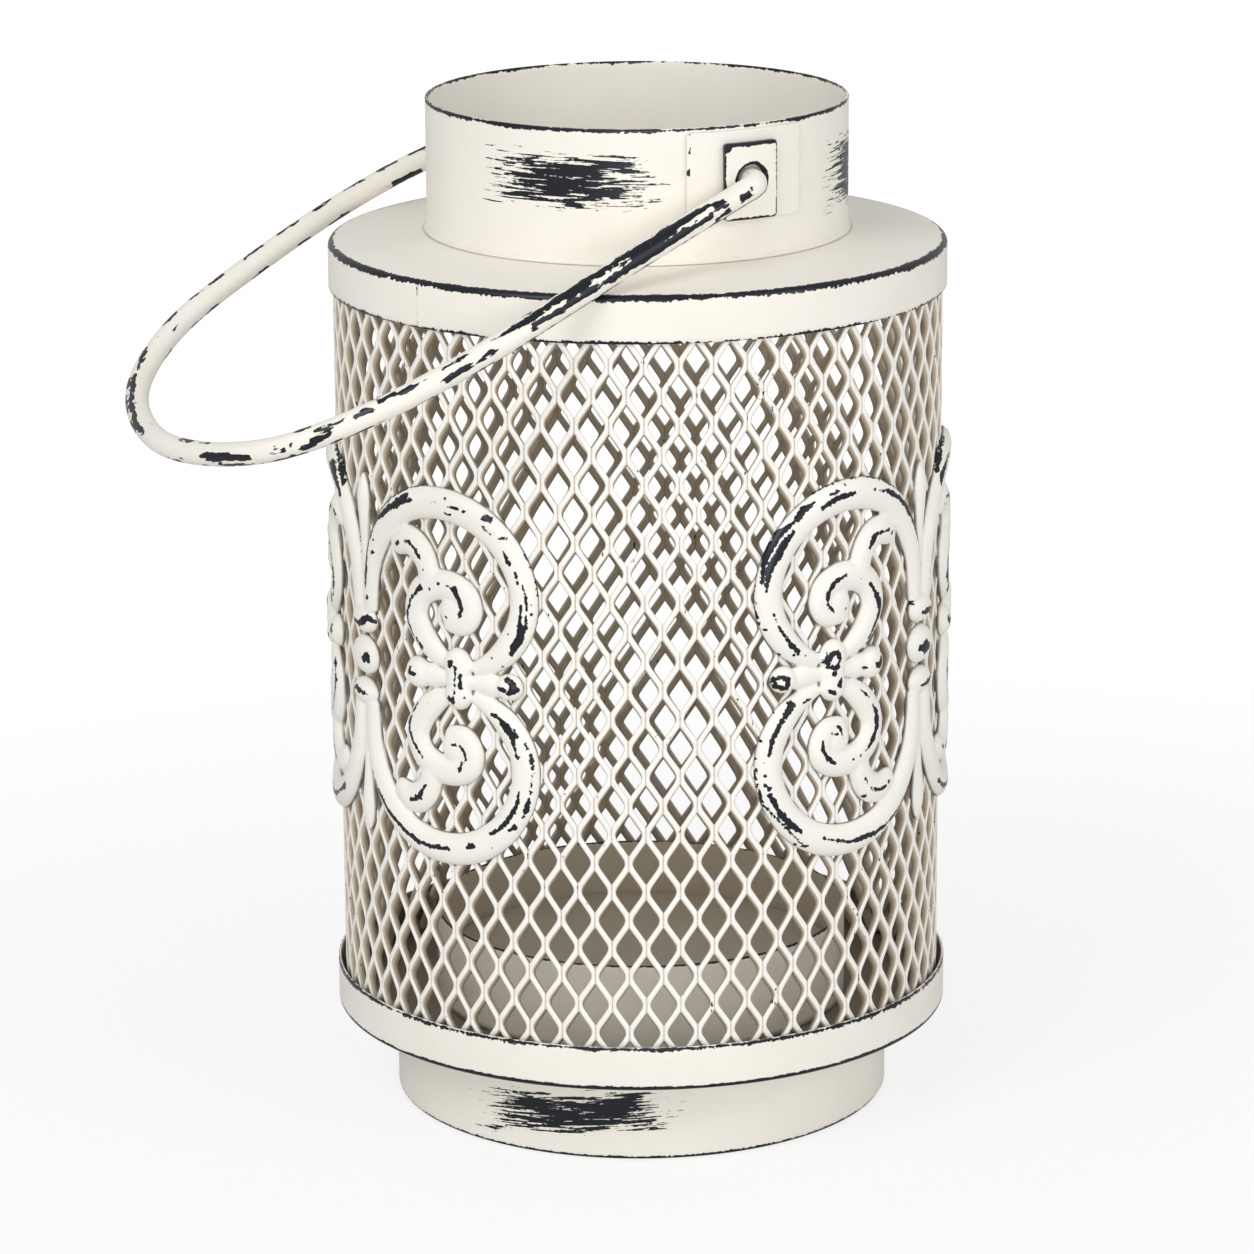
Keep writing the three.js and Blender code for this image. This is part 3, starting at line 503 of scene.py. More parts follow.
    def paint(self, bare, shade=None, colour=None, inside=None):
        """Paint with dark metal where bare is 1, cream unless a colour is given, and darker where shade is 1.

        inside is a share and a colour: the paint has that colour where the share is 1.
        """
        if colour is None:
            mottle = self.blotches(16, 3, 1.0, -0.5, 0.6)
            colour = self.mix(self.times(mottle, MOTTLING), CREAM, CREAM_SHADE)
        if inside is not None:
            colour = self.mix(inside[0], colour, inside[1])
        if shade is not None:
            colour = self.mix(shade, colour, CREAM_SHADE)
        colour = self.mix(self.times(self.specks(), 0.75), colour, DIRT)
        colour = self.mix(bare, colour, DARK_METAL)
        fine = self.noise(self.place, 0.45, 2, 2.0)
        wavy = self.noise(self.place, 9, 2, 4.0)
        rough = self.plus(self.times(fine, 0.06), self.times(bare, METAL_ROUGHNESS - PAINT_ROUGHNESS))
        rough = self.plus(rough, PAINT_ROUGHNESS)
        wrinkles = self.noise(self.place, 2.2, 4, 6.0)
        height = self.plus(self.times(fine, 0.1), self.times(wavy, 0.35))
        height = self.plus(height, self.times(wrinkles, 0.16))
        height = self.minus(height, self.times(bare, 0.8))
        bump = self.node("ShaderNodeBump", {"Strength": 0.6, "Distance": BUMP_HEIGHT * MM, "Height": height})
        shader = self.node("ShaderNodeBsdfPrincipled", {
            "Base Color": colour,
            "Metallic": self.times(bare, 0.55),
            "Roughness": rough,
            "Normal": bump.outputs[0],
        })
        self.output(shader)
        return self.material

    def output(self, shader):
        self.node("ShaderNodeOutputMaterial", {"Surface": shader.outputs[0]})


# Mesh building


def make_object(name, points, faces, attributes=None, smooth=True):
    """A mesh object from points in millimetres."""
    data = bpy.data.meshes.new(name)
    data.from_pydata((np.asarray(points) * MM).tolist(), [], faces)
    for key, values in (attributes or {}).items():
        values = np.asarray(values, np.float32)
        kind = "FLOAT_VECTOR" if values.ndim == 2 else "FLOAT"
        field = "vector" if values.ndim == 2 else "value"
        data.attributes.new(key, kind, "POINT").data.foreach_set(field, values.ravel())
    data.polygons.foreach_set("use_smooth", [smooth] * len(data.polygons))
    data.update()
    piece = bpy.data.objects.new(name, data)
    bpy.context.scene.collection.objects.link(piece)
    return piece


def dress(piece, body, node, material):
    """Gives a piece its body, the solid that it stands for and its material."""
    piece.data.materials.append(material)
    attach(piece, body)
    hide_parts(node)


def grid_faces(rows, columns, wrap_rows=False, start=0):
    """Faces between rows of points, each row closed on itself, counted from the start index."""
    faces = []
    for i in range(rows if wrap_rows else rows - 1):
        below = start + i * columns
        above = start + ((i + 1) % rows) * columns
        for j in range(columns):
            k = (j + 1) % columns
            faces.append((below + j, below + k, above + k, above + j))
    return faces


def arc(centre, radius, start, end, steps=4):
    """Points of an arc in the plane of radius and height, between two directions in degrees."""
    angles = np.radians(np.linspace(start, end, steps + 1))
    return [(centre[0] + radius * math.cos(a), centre[1] + radius * math.sin(a)) for a in angles]


def rounded_lip(outer, inner, top, lip):
    """The upper end of a wall, from its outside to its inside, with both edges rounded."""
    return arc((outer - lip, top - lip), lip, 0, 90, 3) + arc((inner + lip, top - lip), lip, 90, 180, 3)


def refined(outline):
    """The closed outline with its long straight sides cut up."""
    result = []
    for first, second in zip(outline, outline[1:] + outline[:1]):
        length = math.dist(first, second)
        pieces = min(max(1, math.ceil(length / LONGEST_FACE)), 40)
        for i in range(pieces):
            result.append(tuple(a + (b - a) * (i / pieces) for a, b in zip(first, second)))
    return result


def turned(name, outline, worn):
    """A smooth ring from a closed outline of radius and height, counted anticlockwise.

    worn lists the edges as (radius, height, width): the paint is gone within the width of each.
    """
    outline = refined(outline)
    angles = np.linspace(0, 2 * math.pi, TURNED_SEGMENTS, endpoint=False)
    radius = np.array([p[0] for p in outline])
    height = np.array([p[1] for p in outline])
    x = np.outer(radius, np.sin(angles))
    y = -np.outer(radius, np.cos(angles))
    z = np.repeat(height[:, None], TURNED_SEGMENTS, 1)
    gap = np.full(len(outline), NO_EDGE_NEAR)
    for edge_radius, edge_height, width in worn:
        gap = np.minimum(gap, np.hypot(radius - edge_radius, height - edge_height) - width)
    points = np.stack([x, y, z], -1).reshape(-1, 3)
    faces = grid_faces(len(outline), TURNED_SEGMENTS, wrap_rows=True)
    return make_object(name, points, faces, {"gap": np.repeat(gap, TURNED_SEGMENTS)})


def even_line(points, count):
    """A centripetal Catmull-Rom line through the points, resampled at even distances."""
    points = np.array(points, float)
    samples = []
    for i in range(len(points) - 1):
        start, end = points[i], points[i + 1]
        before = points[i - 1] if i else 2 * points[0] - points[1]
        after = points[i + 2] if i + 2 < len(points) else 2 * points[-1] - points[-2]
        spans = ((before, start), (start, end), (end, after))
        near, here, far = [max(np.linalg.norm(b - a) ** 0.5, 1e-3) for a, b in spans]
        leave = ((start - before) / near - (end - before) / (near + here) + (end - start) / here) * here
        arrive = ((end - start) / here - (after - start) / (here + far) + (after - end) / far) * here
        t = np.linspace(0, 1, LINE_SAMPLES, endpoint=False)[:, None]
        samples.append(
            start + leave * t + (3 * (end - start) - 2 * leave - arrive) * t**2
            + (2 * (start - end) + leave + arrive) * t**3
        )
    line = np.vstack(samples + [points[-1:]])
    travelled = np.concatenate([[0], np.cumsum(np.linalg.norm(np.diff(line[:, :2], axis=0), axis=1))])
    wanted = np.linspace(0, travelled[-1], count)
    return np.stack([np.interp(wanted, travelled, line[:, k]) for k in range(line.shape[1])], 1)


# Sheet-metal pieces


def make_foot():
    """A closed round pan, its edges worn and its side rubbed at two places."""
    radius, top, bend = FOOT_RADIUS, FOOT_TOP, FOOT_BEND
    outline = [
        (CENTRE_RADIUS, 0),
        *arc((radius - bend, bend), bend, -90, 0),
        *arc((radius - 0.3, top - 0.3), 0.3, 0, 90, 2),
        (radius - SHEET, top),
        (radius - SHEET, SHEET),
        (CENTRE_RADIUS, SHEET),
    ]
    piece = turned("foot_shell", outline, [(radius - 0.4, 0.1, 0.9), (radius, top, 0.4)])
    finish = Finish("foot_paint")
    patches = [finish.rubbed_patch(radius, *patch) for patch in FOOT_PATCHES]
    bare = finish.most([finish.worn_edges(0.7, 0.3, 1.0), *patches])
    dress(piece, "lantern", "foot_pan", finish.paint(bare))


def make_base():
    """The pan that holds the mesh's lower edge, with painted shade on its inside."""
    radius, bottom, top, bend = BASE_RADIUS, BASE_BOTTOM, BASE_TOP, PAN_BEND
    lip = 0.25
    outline = [
        (CENTRE_RADIUS, bottom),
        *arc((radius - bend, bottom + bend), bend, -90, 0),
        *rounded_lip(radius, radius - SHEET, top, lip),
        (radius - SHEET, bottom + SHEET),
        (CENTRE_RADIUS, bottom + SHEET),
    ]
    worn = [(radius, top - 0.7, 0.66), (radius - 0.2, bottom + 0.2, 1.05)]
    piece = turned("base_tray", outline, worn)
    finish = Finish("base_paint")
    bare = finish.worn_edges(0.45, 0.35, 2.0)
    # Painted shade on the pan's inside
    within = finish.opposite(finish.step(finish.reach, radius - SHEET + 0.1, radius - SHEET + 0.4))
    within = finish.times(within, finish.math("GREATER_THAN", finish.z, bottom + SHEET / 2))
    dress(piece, "lantern", "base_pan", finish.paint(bare, inside=(within, PAN_INSIDE_SHADE)))


def make_cup():
    """The ring that holds the candle, and the raised floor inside it, with painted shade inside the cup."""
    lip = 0.3
    inner = CUP_RADIUS - SHEET
    outline = [
        (CUP_RADIUS, CUP_BOTTOM),
        *rounded_lip(CUP_RADIUS, inner, CUP_TOP, lip),
        (inner, CUP_BOTTOM),
    ]
    wall = turned("cup_ring", outline, [(CUP_RADIUS - 0.3, CUP_TOP, 0.5)])
    finish = Finish("cup_paint")
    # Painted shade on the ring's inside
    within = finish.opposite(finish.step(finish.reach, inner + 0.1, CUP_RADIUS - 0.1))
    colour = finish.mix(within, CUP_OUTSIDE, CUP_INSIDE_SHADE)
    cup_material = finish.paint(finish.worn_edges(0.4, 0.3, 3.0), colour=colour)
    dress(wall, "lantern", "candle_cup_wall", cup_material)
    radius, bottom, top, bend = CUP_FLOOR_RADIUS, CUP_FLOOR_BOTTOM, CUP_FLOOR_TOP, PAN_BEND
    outline = [
        (CENTRE_RADIUS, top - SHEET),
        (radius - SHEET, top - SHEET),
        (radius - SHEET, bottom),
        (radius, bottom),
        *arc((radius - bend, top - bend), bend, 0, 90),
        (CENTRE_RADIUS, top),
    ]
    floor = turned("cup_floor", outline, [(radius, top, 0.3)])
    finish = Finish("cup_floor_paint")
    worn = finish.worn_edges(0.4, 0.3, 4.0)
    # Painted shade over the whole floor inside the cup
    dress(floor, "lantern", "candle_cup_floor", finish.paint(worn, colour=CUP_INSIDE_SHADE))


def make_cap():
    """The domed shoulder with its turned-down band and the band's lap seam."""
    edge_top = CAP_TOP - CAP_DOME
    centre = (CAP_RADIUS - CAP_BEND, edge_top - CAP_BEND)
    hole = NECK_RADIUS + SEAT
    slope = centre[0] - hole
    dome = [(hole + slope * share, CAP_TOP - CAP_DOME * share**1.25) for share in (1, 0.75, 0.5, 0.25, 0)]
    outline = [
        (hole, CAP_TOP - CAP_SHEET),
        *[(r, z - CAP_SHEET) for r, z in dome[-2:0:-1]],
        *arc(centre, CAP_BEND - CAP_SHEET, 90, 0),
        (CAP_RADIUS - CAP_SHEET, CAP_BOTTOM + 0.2),
        (CAP_RADIUS - CAP_SHEET + 0.2, CAP_BOTTOM),
        (CAP_RADIUS - 0.2, CAP_BOTTOM),
        (CAP_RADIUS, CAP_BOTTOM + 0.2),
        *arc(centre, CAP_BEND, 0, 90, 8),
        *dome[1:],
    ]
    bend_middle = (centre[0] + CAP_BEND * 0.7, centre[1] + CAP_BEND * 0.7)
    piece = turned("shoulder", outline, [(*bend_middle, 1.0), (CAP_RADIUS, CAP_BOTTOM, 0.5)])
    finish = Finish("shoulder_paint")
    seam_gap = finish.absolute(finish.minus(finish.turn, CAP_SEAM_ANGLE))
    on_band = finish.math("LESS_THAN", finish.z, edge_top - CAP_BEND)
    seam = finish.times(finish.opposite(finish.step(seam_gap, 0.08, 0.2)), on_band)
    chipped = finish.times(seam, finish.blotches(2.2, 2, 8, 0.0, 0.2))
    bare = finish.most([finish.worn_edges(1.0, 0.6, 5.0), chipped])
    dress(piece, "lantern", "shoulder_cap", finish.paint(bare, shade=finish.times(seam, 0.7)))


def make_neck():
    """The open collar, with the weld at its foot."""
    inner, lip = NECK_RADIUS - SHEET, 0.3
    weld = [(NECK_RADIUS + out, CAP_TOP + up) for out, up in WELD_SECTION]
    outline = [
        (inner, NECK_BOTTOM),
        (NECK_RADIUS, NECK_BOTTOM),
        (NECK_RADIUS, CAP_TOP),
        *weld,
        (NECK_RADIUS, CAP_TOP + WELD_RISE),
        *rounded_lip(NECK_RADIUS, inner, NECK_TOP, lip),
    ]
    worn = [(NECK_RADIUS, NECK_TOP - 0.5, 0.62), (inner, NECK_TOP - 0.1, 0.3)]
    piece = turned("neck_ring", outline, worn)
    finish = Finish("neck_paint")
    patches = [finish.rubbed_patch(NECK_RADIUS, *patch) for patch in NECK_PATCHES]
    bare = finish.most([finish.worn_edges(0.6, 0.6, 6.0), *patches])
    near_weld = finish.minus(finish.z, CAP_TOP + 0.9)
    # Grime and painted shade in the crease at the weld, broken into patches
    at_weld_crease = finish.opposite(finish.step(finish.absolute(near_weld), 0.1, 0.7))
    crease_grime_and_shade = finish.times(at_weld_crease, finish.blotches(4, 2, 9, -0.5, 0.6))
    dress(piece, "lantern", "neck_collar", finish.paint(bare, shade=crease_grime_and_shade))


# Expanded metal


def strand_edge(height):
    """How far a strand's edge stands from its bond's line, at heights above the bond's middle."""
    half_row = ROW_PITCH / 2
    from_bond = half_row - np.abs(np.mod(height, ROW_PITCH) - half_row)
    return np.maximum(from_bond - BOND_LENGTH / 2, 0) * STRAND_SLOPE


def make_mesh():
    """Wavy strands side by side, each touching its neighbours in turn at the bonds.

    An opening is pointed where two strands meet, and round where they part: an edge is sharp at the bond that
    it touches and rounded off at the next one.
    """
    lines = 2 * MESH_COLUMNS
    line_turn = 2 * math.pi / lines
    spacing = line_turn * MESH_RADIUS
    half_row = ROW_PITCH / 2
    steps = half_row * np.array([0, 0.08, 0.16, 0.26, 0.33, 0.5, 0.67, 0.74, 0.84, 0.92])
    first = FIRST_BOND_HEIGHT - ROWS_BELOW_FIRST_BOND * half_row
    heights = np.array([first + half_row * row + step for row in range(ROWS_IN_ALL) for step in steps])
    heights = heights[(heights > MESH_BOTTOM) & (heights < MESH_TOP)]
    heights = np.concatenate([[MESH_BOTTOM], heights, [MESH_TOP]])
    spread = np.linspace(-1, 1, 9)
    weight = 1 - 0.7 * spread**2
    weight /= weight.sum()
    half_bulge = STRAND_SLOPE * (half_row - BOND_LENGTH / 2) / 2
    bevel, depth = STRAND_BEVEL, STRAND_DEPTH
    # Each corner of the section: its side (0 left, 1 right), inset, depth and share of painted shade (0
    # front, 0.5 edge, 1 inner face)
    section = [
        (0, 0, bevel, 0.5), (0, bevel, 0, 0), (1, -bevel, 0, 0), (1, 0, bevel, 0.5),
        (1, 0, depth - bevel, 1), (1, -bevel, depth, 1), (0, bevel, depth, 1), (0, 0, depth - bevel, 1),
    ]
    points, faces, skin = [], [], []
    for line in range(lines):
        from_bond = heights - FIRST_BOND_HEIGHT - (half_row if line % 2 else 0)
        edges = []
        for offset in (0, half_row):
            sharp = strand_edge(from_bond + offset)
            nearby = [strand_edge(from_bond + offset + s * EDGE_ROUNDING) for s in spread]
            round_edge = sum(w * edge for w, edge in zip(weight, nearby))
            edges.append(np.where(sharp > half_bulge, round_edge, sharp))
        left, right = edges[0], spacing - edges[1]
        start_turn = math.radians(FIRST_BOND_ANGLE) + line * line_turn
        touching = [np.clip(1 - edge / GROOVE_WIDTH, 0, 1) for edge in edges]
        ring = []
        for share, inset, down, shade_share in section:
            place = (right if share else left) + inset
            angle = start_turn + place / MESH_RADIUS
            radius = MESH_RADIUS - down
            # The tilted strands end at the bottom edge, where their points stay just apart
            lowered = np.maximum(heights - STRAND_TILT * down, MESH_BOTTOM + 0.001 * heights)
            ring.append(np.stack([radius * np.sin(angle), -radius * np.cos(angle), lowered], -1))
            groove = touching[share] if abs(inset) < bevel else 0 * heights
            skin.append(np.stack([0 * heights + shade_share, groove, 0 * heights], -1))
        points.append(np.stack(ring, 1).reshape(-1, 3))
        faces += grid_faces(len(heights), len(section), start=line * len(heights) * len(section))
    skin = np.stack(skin).reshape(lines, len(section), len(heights), 3).transpose(0, 2, 1, 3)
    piece = make_object("expanded_metal", np.vstack(points), faces, {"skin": skin.reshape(-1, 3)})
    dress(piece, "lantern", "mesh_sleeve", mesh_paint())


def mesh_paint():
    """White paint on the strands' fronts, with painted shade: tan along their edges and near the bonds, and
    dark on their inner faces.
    """
    finish = Finish("mesh_paint")
    parts = finish.node("ShaderNodeSeparateXYZ", {0: finish.attribute("skin").outputs["Vector"]})
    shade_share, groove = parts.outputs[:2]
    long_place = finish.combine(finish.x, finish.y, finish.times(finish.z, 0.45))
    fine = finish.noise(long_place, 0.9, 2, 31)
    chance = finish.noise(finish.place, 9, 1, 32)
    reach = finish.plus(finish.times(groove, 0.12), finish.times(chance, 0.4))
    bare = finish.step(finish.plus(fine, reach), 0.45, 0.51)
    # Painted shade: the strands' edges are tan, less so where they touch at the bonds
    edge = finish.times(finish.step(shade_share, 0.05, 0.5), finish.opposite(finish.times(groove, 0.6)))
    colour = finish.mix(edge, STRAND_FRONT, STRAND_EDGE_SHADE)
    # Painted shade: the strands' inner faces are dark
    colour = finish.mix(finish.step(shade_share, 0.5, 0.95), colour, STRAND_INSIDE_SHADE)
    tan = finish.times(finish.blotches(3, 2, 33, -0.1, 0.5), 0.5)
    # Painted shade near the bonds, mixed with random tan blotches
    groove_shade_and_tan = finish.times(finish.plus(groove, tan), 0.28)
    colour = finish.mix(groove_shade_and_tan, colour, STRAND_EDGE_SHADE)
    return finish.paint(bare, colour=colour)


# Ears


def make_ear_plate(name, size, inner, sheet, middle, side_turn, wear, bevel, corner):
    """A curved plate with a hole, its face built as rings from the hole out to a rounded rectangle.

    wear says how wide the paint is gone at the right, left, upper and lower edge, round the hole, and round
    the upper left corner.
    """
    width, height = size
    angles = np.linspace(0, 2 * math.pi, EAR_SEGMENTS, endpoint=False)
    hole = np.stack([np.cos(angles), np.sin(angles)], 1) * EAR_HOLE_RADIUS
    rise = PIVOT_HEIGHT - middle
    half = np.array([width / 2 - corner, height / 2 - corner])
    rays = np.stack([np.cos(angles) * width, np.sin(angles) * height], 1)
    rays /= np.maximum(np.abs(rays[:, :1]) / width, np.abs(rays[:, 1:]) / height) * 2
    rim = np.clip(rays, -half, half)
    away = rays - rim
    rim = rim + away / np.maximum(np.linalg.norm(away, axis=1, keepdims=True), 1e-6) * corner
    rim = np.where(np.linalg.norm(away, axis=1, keepdims=True) > 1e-6, rim, rays)
    rim[:, 1] -= rise
    shares = 1 - (1 - np.linspace(0, 1, 16)) ** 1.4
    centre = np.array([0, -rise])
    inset = rim - (rim - centre) / np.linalg.norm(rim - centre, axis=1, keepdims=True) * bevel
    wide_hole = hole * (1 + bevel / EAR_HOLE_RADIUS)
    low, high = inner, inner + sheet
    middle_rings = [wide_hole + (inset - wide_hole) * s for s in shares]
    rings = [(hole, low), (hole, high - bevel)]
    rings += [(ring, high) for ring in middle_rings]
    rings += [(rim, high - bevel), (rim, low)]
    rings += [(ring, low) for ring in middle_rings[::-1]]
    points, gap = [], []
    for ring, radius in rings:
        angle = ring[:, 0] / (inner + sheet)
        x, y, z = radius * np.sin(angle), -radius * np.cos(angle), PIVOT_HEIGHT + ring[:, 1]
        cosine, sine = math.cos(math.radians(side_turn)), math.sin(math.radians(side_turn))
        points.append(np.stack([x * cosine - y * sine, x * sine + y * cosine, z], 1))
        flat = ring - centre
        right, top = width / 2 - flat[:, 0], height / 2 - flat[:, 1]
        left, low_edge = width / 2 + flat[:, 0], height / 2 + flat[:, 1]
        reaches = [d - e for d, e in zip((right, left, top, low_edge), wear)]
        reaches.append(np.linalg.norm(ring, axis=1) - EAR_HOLE_RADIUS - wear[4])
        reaches.append(np.linalg.norm(flat - [-width / 2, height / 2], axis=1) - wear[5])
        gap.append(np.min(reaches, axis=0))
    faces = grid_faces(len(rings), EAR_SEGMENTS, wrap_rows=True)
    return make_object(name, np.vstack(points), faces, {"gap": np.concatenate(gap)})


def make_ears():
    """On each side of the neck, a pad and on it a plate with the handle's hole."""
    pad_inner = NECK_RADIUS + SEAT
    plate_inner = pad_inner + PAD_SHEET + SEAT
    pad_middle = NECK_TOP - PAD_DROP - PAD_SIZE[1] / 2
    pad_finish = Finish("ear_pad_paint")
    chosen = pad_finish.blotches(3.4, 2, 41, 0.12, 0.2)
    pad_bare = pad_finish.times(pad_finish.worn_edges(0.3, 0.2, 7.0), chosen)
    pad_material = pad_finish.paint(pad_bare)
    plate_finish = Finish("ear_plate_paint")
    plate_material = plate_finish.paint(plate_finish.worn_edges(0.6, 0.3, 8.0))
    for side, turn in (("front", EAR_ANGLE), ("back", EAR_ANGLE + 180)):
        pad = make_ear_plate(
            f"ear_patch_{side}", PAD_SIZE, pad_inner, PAD_SHEET, pad_middle, turn, PAD_WEAR,
            PAD_BEVEL, PAD_CORNER,
        )
        dress(pad, "lantern", f"ear_pad_{side}", pad_material)
        plate = make_ear_plate(
            f"ear_tab_{side}", PLATE_SIZE, plate_inner, PLATE_SHEET, PIVOT_HEIGHT, turn, PLATE_WEAR,
            PLATE_BEVEL, PLATE_CORNER,
        )
        dress(plate, "lantern", f"ear_plate_{side}", plate_material)


# Handle


def handle_outline():
    """The rod's centre line in its own plane: distance across from ear to ear, and out from the axis."""
    inner = NECK_RADIUS + SEAT
    arm = inner + PAD_SHEET + SEAT + PLATE_SHEET + EAR_RUNNING + ROD_RADIUS
    elbow = arc((arm - ELBOW_RADIUS, ELBOW_RADIUS), ELBOW_RADIUS, -90, 0, 8)
    sides = {side: [(arm, ELBOW_RADIUS), *points] for side, points in ARM_POINTS.items()}
    loop = even_line([*sides[1], (0, HANDLE_REACH), *[(-x, y) for x, y in sides[-1][::-1]]], ROD_RINGS)
    end = [(inner + (elbow[0][0] - inner) * s, 0) for s in (0, 0.5)] + elbow
    return np.array([*end, *loop[1:-1], *[(-x, y) for x, y in end[::-1]]])


def handle_line(swing):
    """The rod's centre line in space, with the direction that rises from its plane."""
    turn = math.radians(EAR_ANGLE)
    across = np.array([math.sin(turn), -math.cos(turn), 0])
    out = np.array([-math.cos(turn) * math.cos(swing), -math.sin(turn) * math.cos(swing), -math.sin(swing)])
    rise = np.cross(out, across)
    outline = handle_outline()
    bow = HANDLE_BOW * np.sin(math.pi * outline[:, 1] / HANDLE_REACH)
    line = np.outer(outline[:, 0], across) + np.outer(outline[:, 1], out) + np.outer(bow, rise)
    return line + [0, 0, PIVOT_HEIGHT], rise


def rest_swing():
    """The swing at which the rod lies on the shoulder's rounded rim."""
    wanted = ROD_RADIUS / math.cos(math.pi / CAD_ROD_SIDES) + REST_GAP
    rim_radius, rim_height = CAP_RADIUS - CAP_BEND, CAP_TOP - CAP_DOME - CAP_BEND
    free, touching = 0.0, math.radians(80)
    while touching - free > 1e-5:
        swing = (free + touching) / 2
        line = handle_line(swing)[0]
        beyond = np.maximum(np.hypot(line[:, 0], line[:, 1]) - rim_radius, 0)
        above = np.maximum(line[:, 2] - rim_height, 0)
        if np.min(np.hypot(beyond, above)) - CAP_BEND > wanted:
            free = swing
        else:
            touching = swing
    return free


def chip_gap(places, chips):
    """Distance in millimetres from flat places to the nearest chip's edge, negative inside a chip."""
    gap = np.full(len(places), NO_EDGE_NEAR)
    for chip in chips:
        points = np.array(chip if len(chip) > 1 else chip * 2, float)
        for start, end in zip(points, points[1:]):
            run = end[:2] - start[:2]
            share = np.clip((places - start[:2]) @ run / max(run @ run, 1e-6), 0, 1)
            nearest = start[:2] + share[:, None] * run
            width = start[2] + share * (end[2] - start[2])
            gap = np.minimum(gap, np.linalg.norm(places - nearest, axis=1) - width)
    return gap


def make_handle():
    """The rod with rounded paint chips, swept along its centre line at rest."""
    line, rise = handle_line(rest_swing())
    sides = ROD_SIDES
    angles = np.linspace(0, 2 * math.pi, sides, endpoint=False)
    tangent = np.gradient(line, axis=0)
    tangent /= np.linalg.norm(tangent, axis=1, keepdims=True)
    side = np.cross(tangent, rise)
    side /= np.linalg.norm(side, axis=1, keepdims=True)
    top = np.cross(side, tangent)
    cosine, sine = np.cos(angles), np.sin(angles)
    rings = line[:, None] + ROD_RADIUS * (side[:, None] * cosine[:, None] + top[:, None] * sine[:, None])
    travelled = np.concatenate([[0], np.cumsum(np.linalg.norm(np.diff(line, axis=0), axis=1))])
    along = np.repeat(travelled[:, None], sides, 1)
    front = np.radians(np.interp(travelled, *zip(*FRONT_SIDE)))
    round_from_front = np.mod(angles[None] - front[:, None] + math.pi, 2 * math.pi) - math.pi
    places = np.stack([along, ROD_RADIUS * round_from_front], -1).reshape(-1, 2)
    skin = np.stack([along, cosine * ROD_RADIUS + 0 * along, sine * ROD_RADIUS + 0 * along], -1)
    chips = {
        "skin": skin.reshape(-1, 3),
        "chip": chip_gap(places, HANDLE_CHIPS),
        "round": np.abs(places[:, 1]),
    }
    faces = grid_faces(len(line), sides)
    faces += [tuple(range(sides))[::-1], tuple(len(line) * sides - sides + j for j in range(sides))]
    piece = make_object("handle_rod", rings.reshape(-1, 3), faces, chips)
    dress(piece, "handle", "bail_handle", handle_paint())


def handle_paint():
    """Cream paint with long chips, and finer random ones all round."""
    finish = Finish("handle_paint")
    parts = finish.node("ShaderNodeSeparateXYZ", {0: finish.attribute("skin").outputs["Vector"]})
    along, out, up = parts.outputs
    ragged = finish.noise(finish.combine(finish.over(along, 3), out, up), 0.7, 3, 51)
    slow = finish.noise(finish.combine(finish.over(along, 3), out, up), 2.2, 2, 52)
    rough_edge = finish.plus(finish.times(ragged, 1.1), finish.times(slow, 1.5))
    rough_edge = finish.plus(rough_edge, 0.2)
    chips = finish.step(finish.minus(rough_edge, finish.attribute("chip").outputs["Fac"]))
    flakes = finish.noise(finish.combine(finish.over(along, 5.5), out, up), 1.5, 3, 53)
    far_round = finish.step(finish.attribute("round").outputs["Fac"], 2.6, 4)
    more = finish.plus(flakes, finish.times(far_round, 0.12))
    return finish.paint(finish.most([chips, finish.step(more, 0.33, 0.39)]))


# Scroll ornaments


def swept_stroke(points, count):
    """Rings of a rounded bar along a flat line, lower where it is narrow, with its centre line and width."""
    line = even_line(points, count)
    path, width = line[:, :2], line[:, 2]
    tangent = np.gradient(path, axis=0)
    tangent /= np.linalg.norm(tangent, axis=1, keepdims=True)
    normal = np.stack([-tangent[:, 1], tangent[:, 0]], 1)
    shares = np.sin(np.radians(np.linspace(-90, 90, 15)))
    rises = (1 - np.abs(shares) ** 2.3) ** 0.62
    section = [(u, h * BAR_RELIEF) for u, h in zip(shares, rises)] + [(0.9, -0.5), (-0.9, -0.5)]
    rings = []
    for u, h in section:
        flat = path + normal * (u * width / 2)[:, None]
        height = h * np.clip(0.08 + 0.125 * width, 0.3, 1) if h > 0 else np.full(len(path), h)
        rings.append(np.column_stack([flat, height]))
    return np.stack(rings, 1), path, width


def dome(place, half_axes, relief):
    """Rings of a low oval bead."""
    rows, columns = 12, 28
    rings = []
    for lift in np.radians(np.linspace(-88, 88, rows)):
        turn = np.linspace(0, 2 * math.pi, columns, endpoint=False)
        reach = math.cos(lift) ** 0.8
        height = relief * math.sin(lift) if lift > 0 else 0.5 * math.sin(lift)
        rings.append(np.stack([
            place[0] + half_axes[0] * reach * np.cos(turn),
            place[1] + half_axes[1] * reach * np.sin(turn),
            np.full(columns, height),
        ], 1))
    return np.stack(rings)


def flat_ornament():
    """The ornament's solids before bending, as rings of flat places with their rise."""
    solids = []
    for points, count in STROKES:
        for mirror_x in (1, -1):
            for mirror_y in (1, -1):
                if points is LEAF and mirror_x < 0 or points is KNOB_NECK and mirror_y < 0:
                    continue
                rings, path, width = swept_stroke(points, count)
                flip = np.array([mirror_x, mirror_y])
                solids.append(rings * [mirror_x, mirror_y, 1])
                if points in (HOOK, INNER_SCROLL):
                    radius = width[-1] / 2
                    solids.append(dome(path[-1] * flip, (radius, radius), BAR_RELIEF * 0.8))
    (along, height), axes = SCROLL_EYE
    for mirror_x in (1, -1):
        for mirror_y in (1, -1):
            solids.append(dome((along * mirror_x, height * mirror_y), axes, BAR_RELIEF))
    for (along, height), axes in BEADS:
        for mirror_x in ((1,) if along == 0 else (1, -1)):
            solids.append(dome((along * mirror_x, height), axes, BEAD_RELIEF))
    return solids


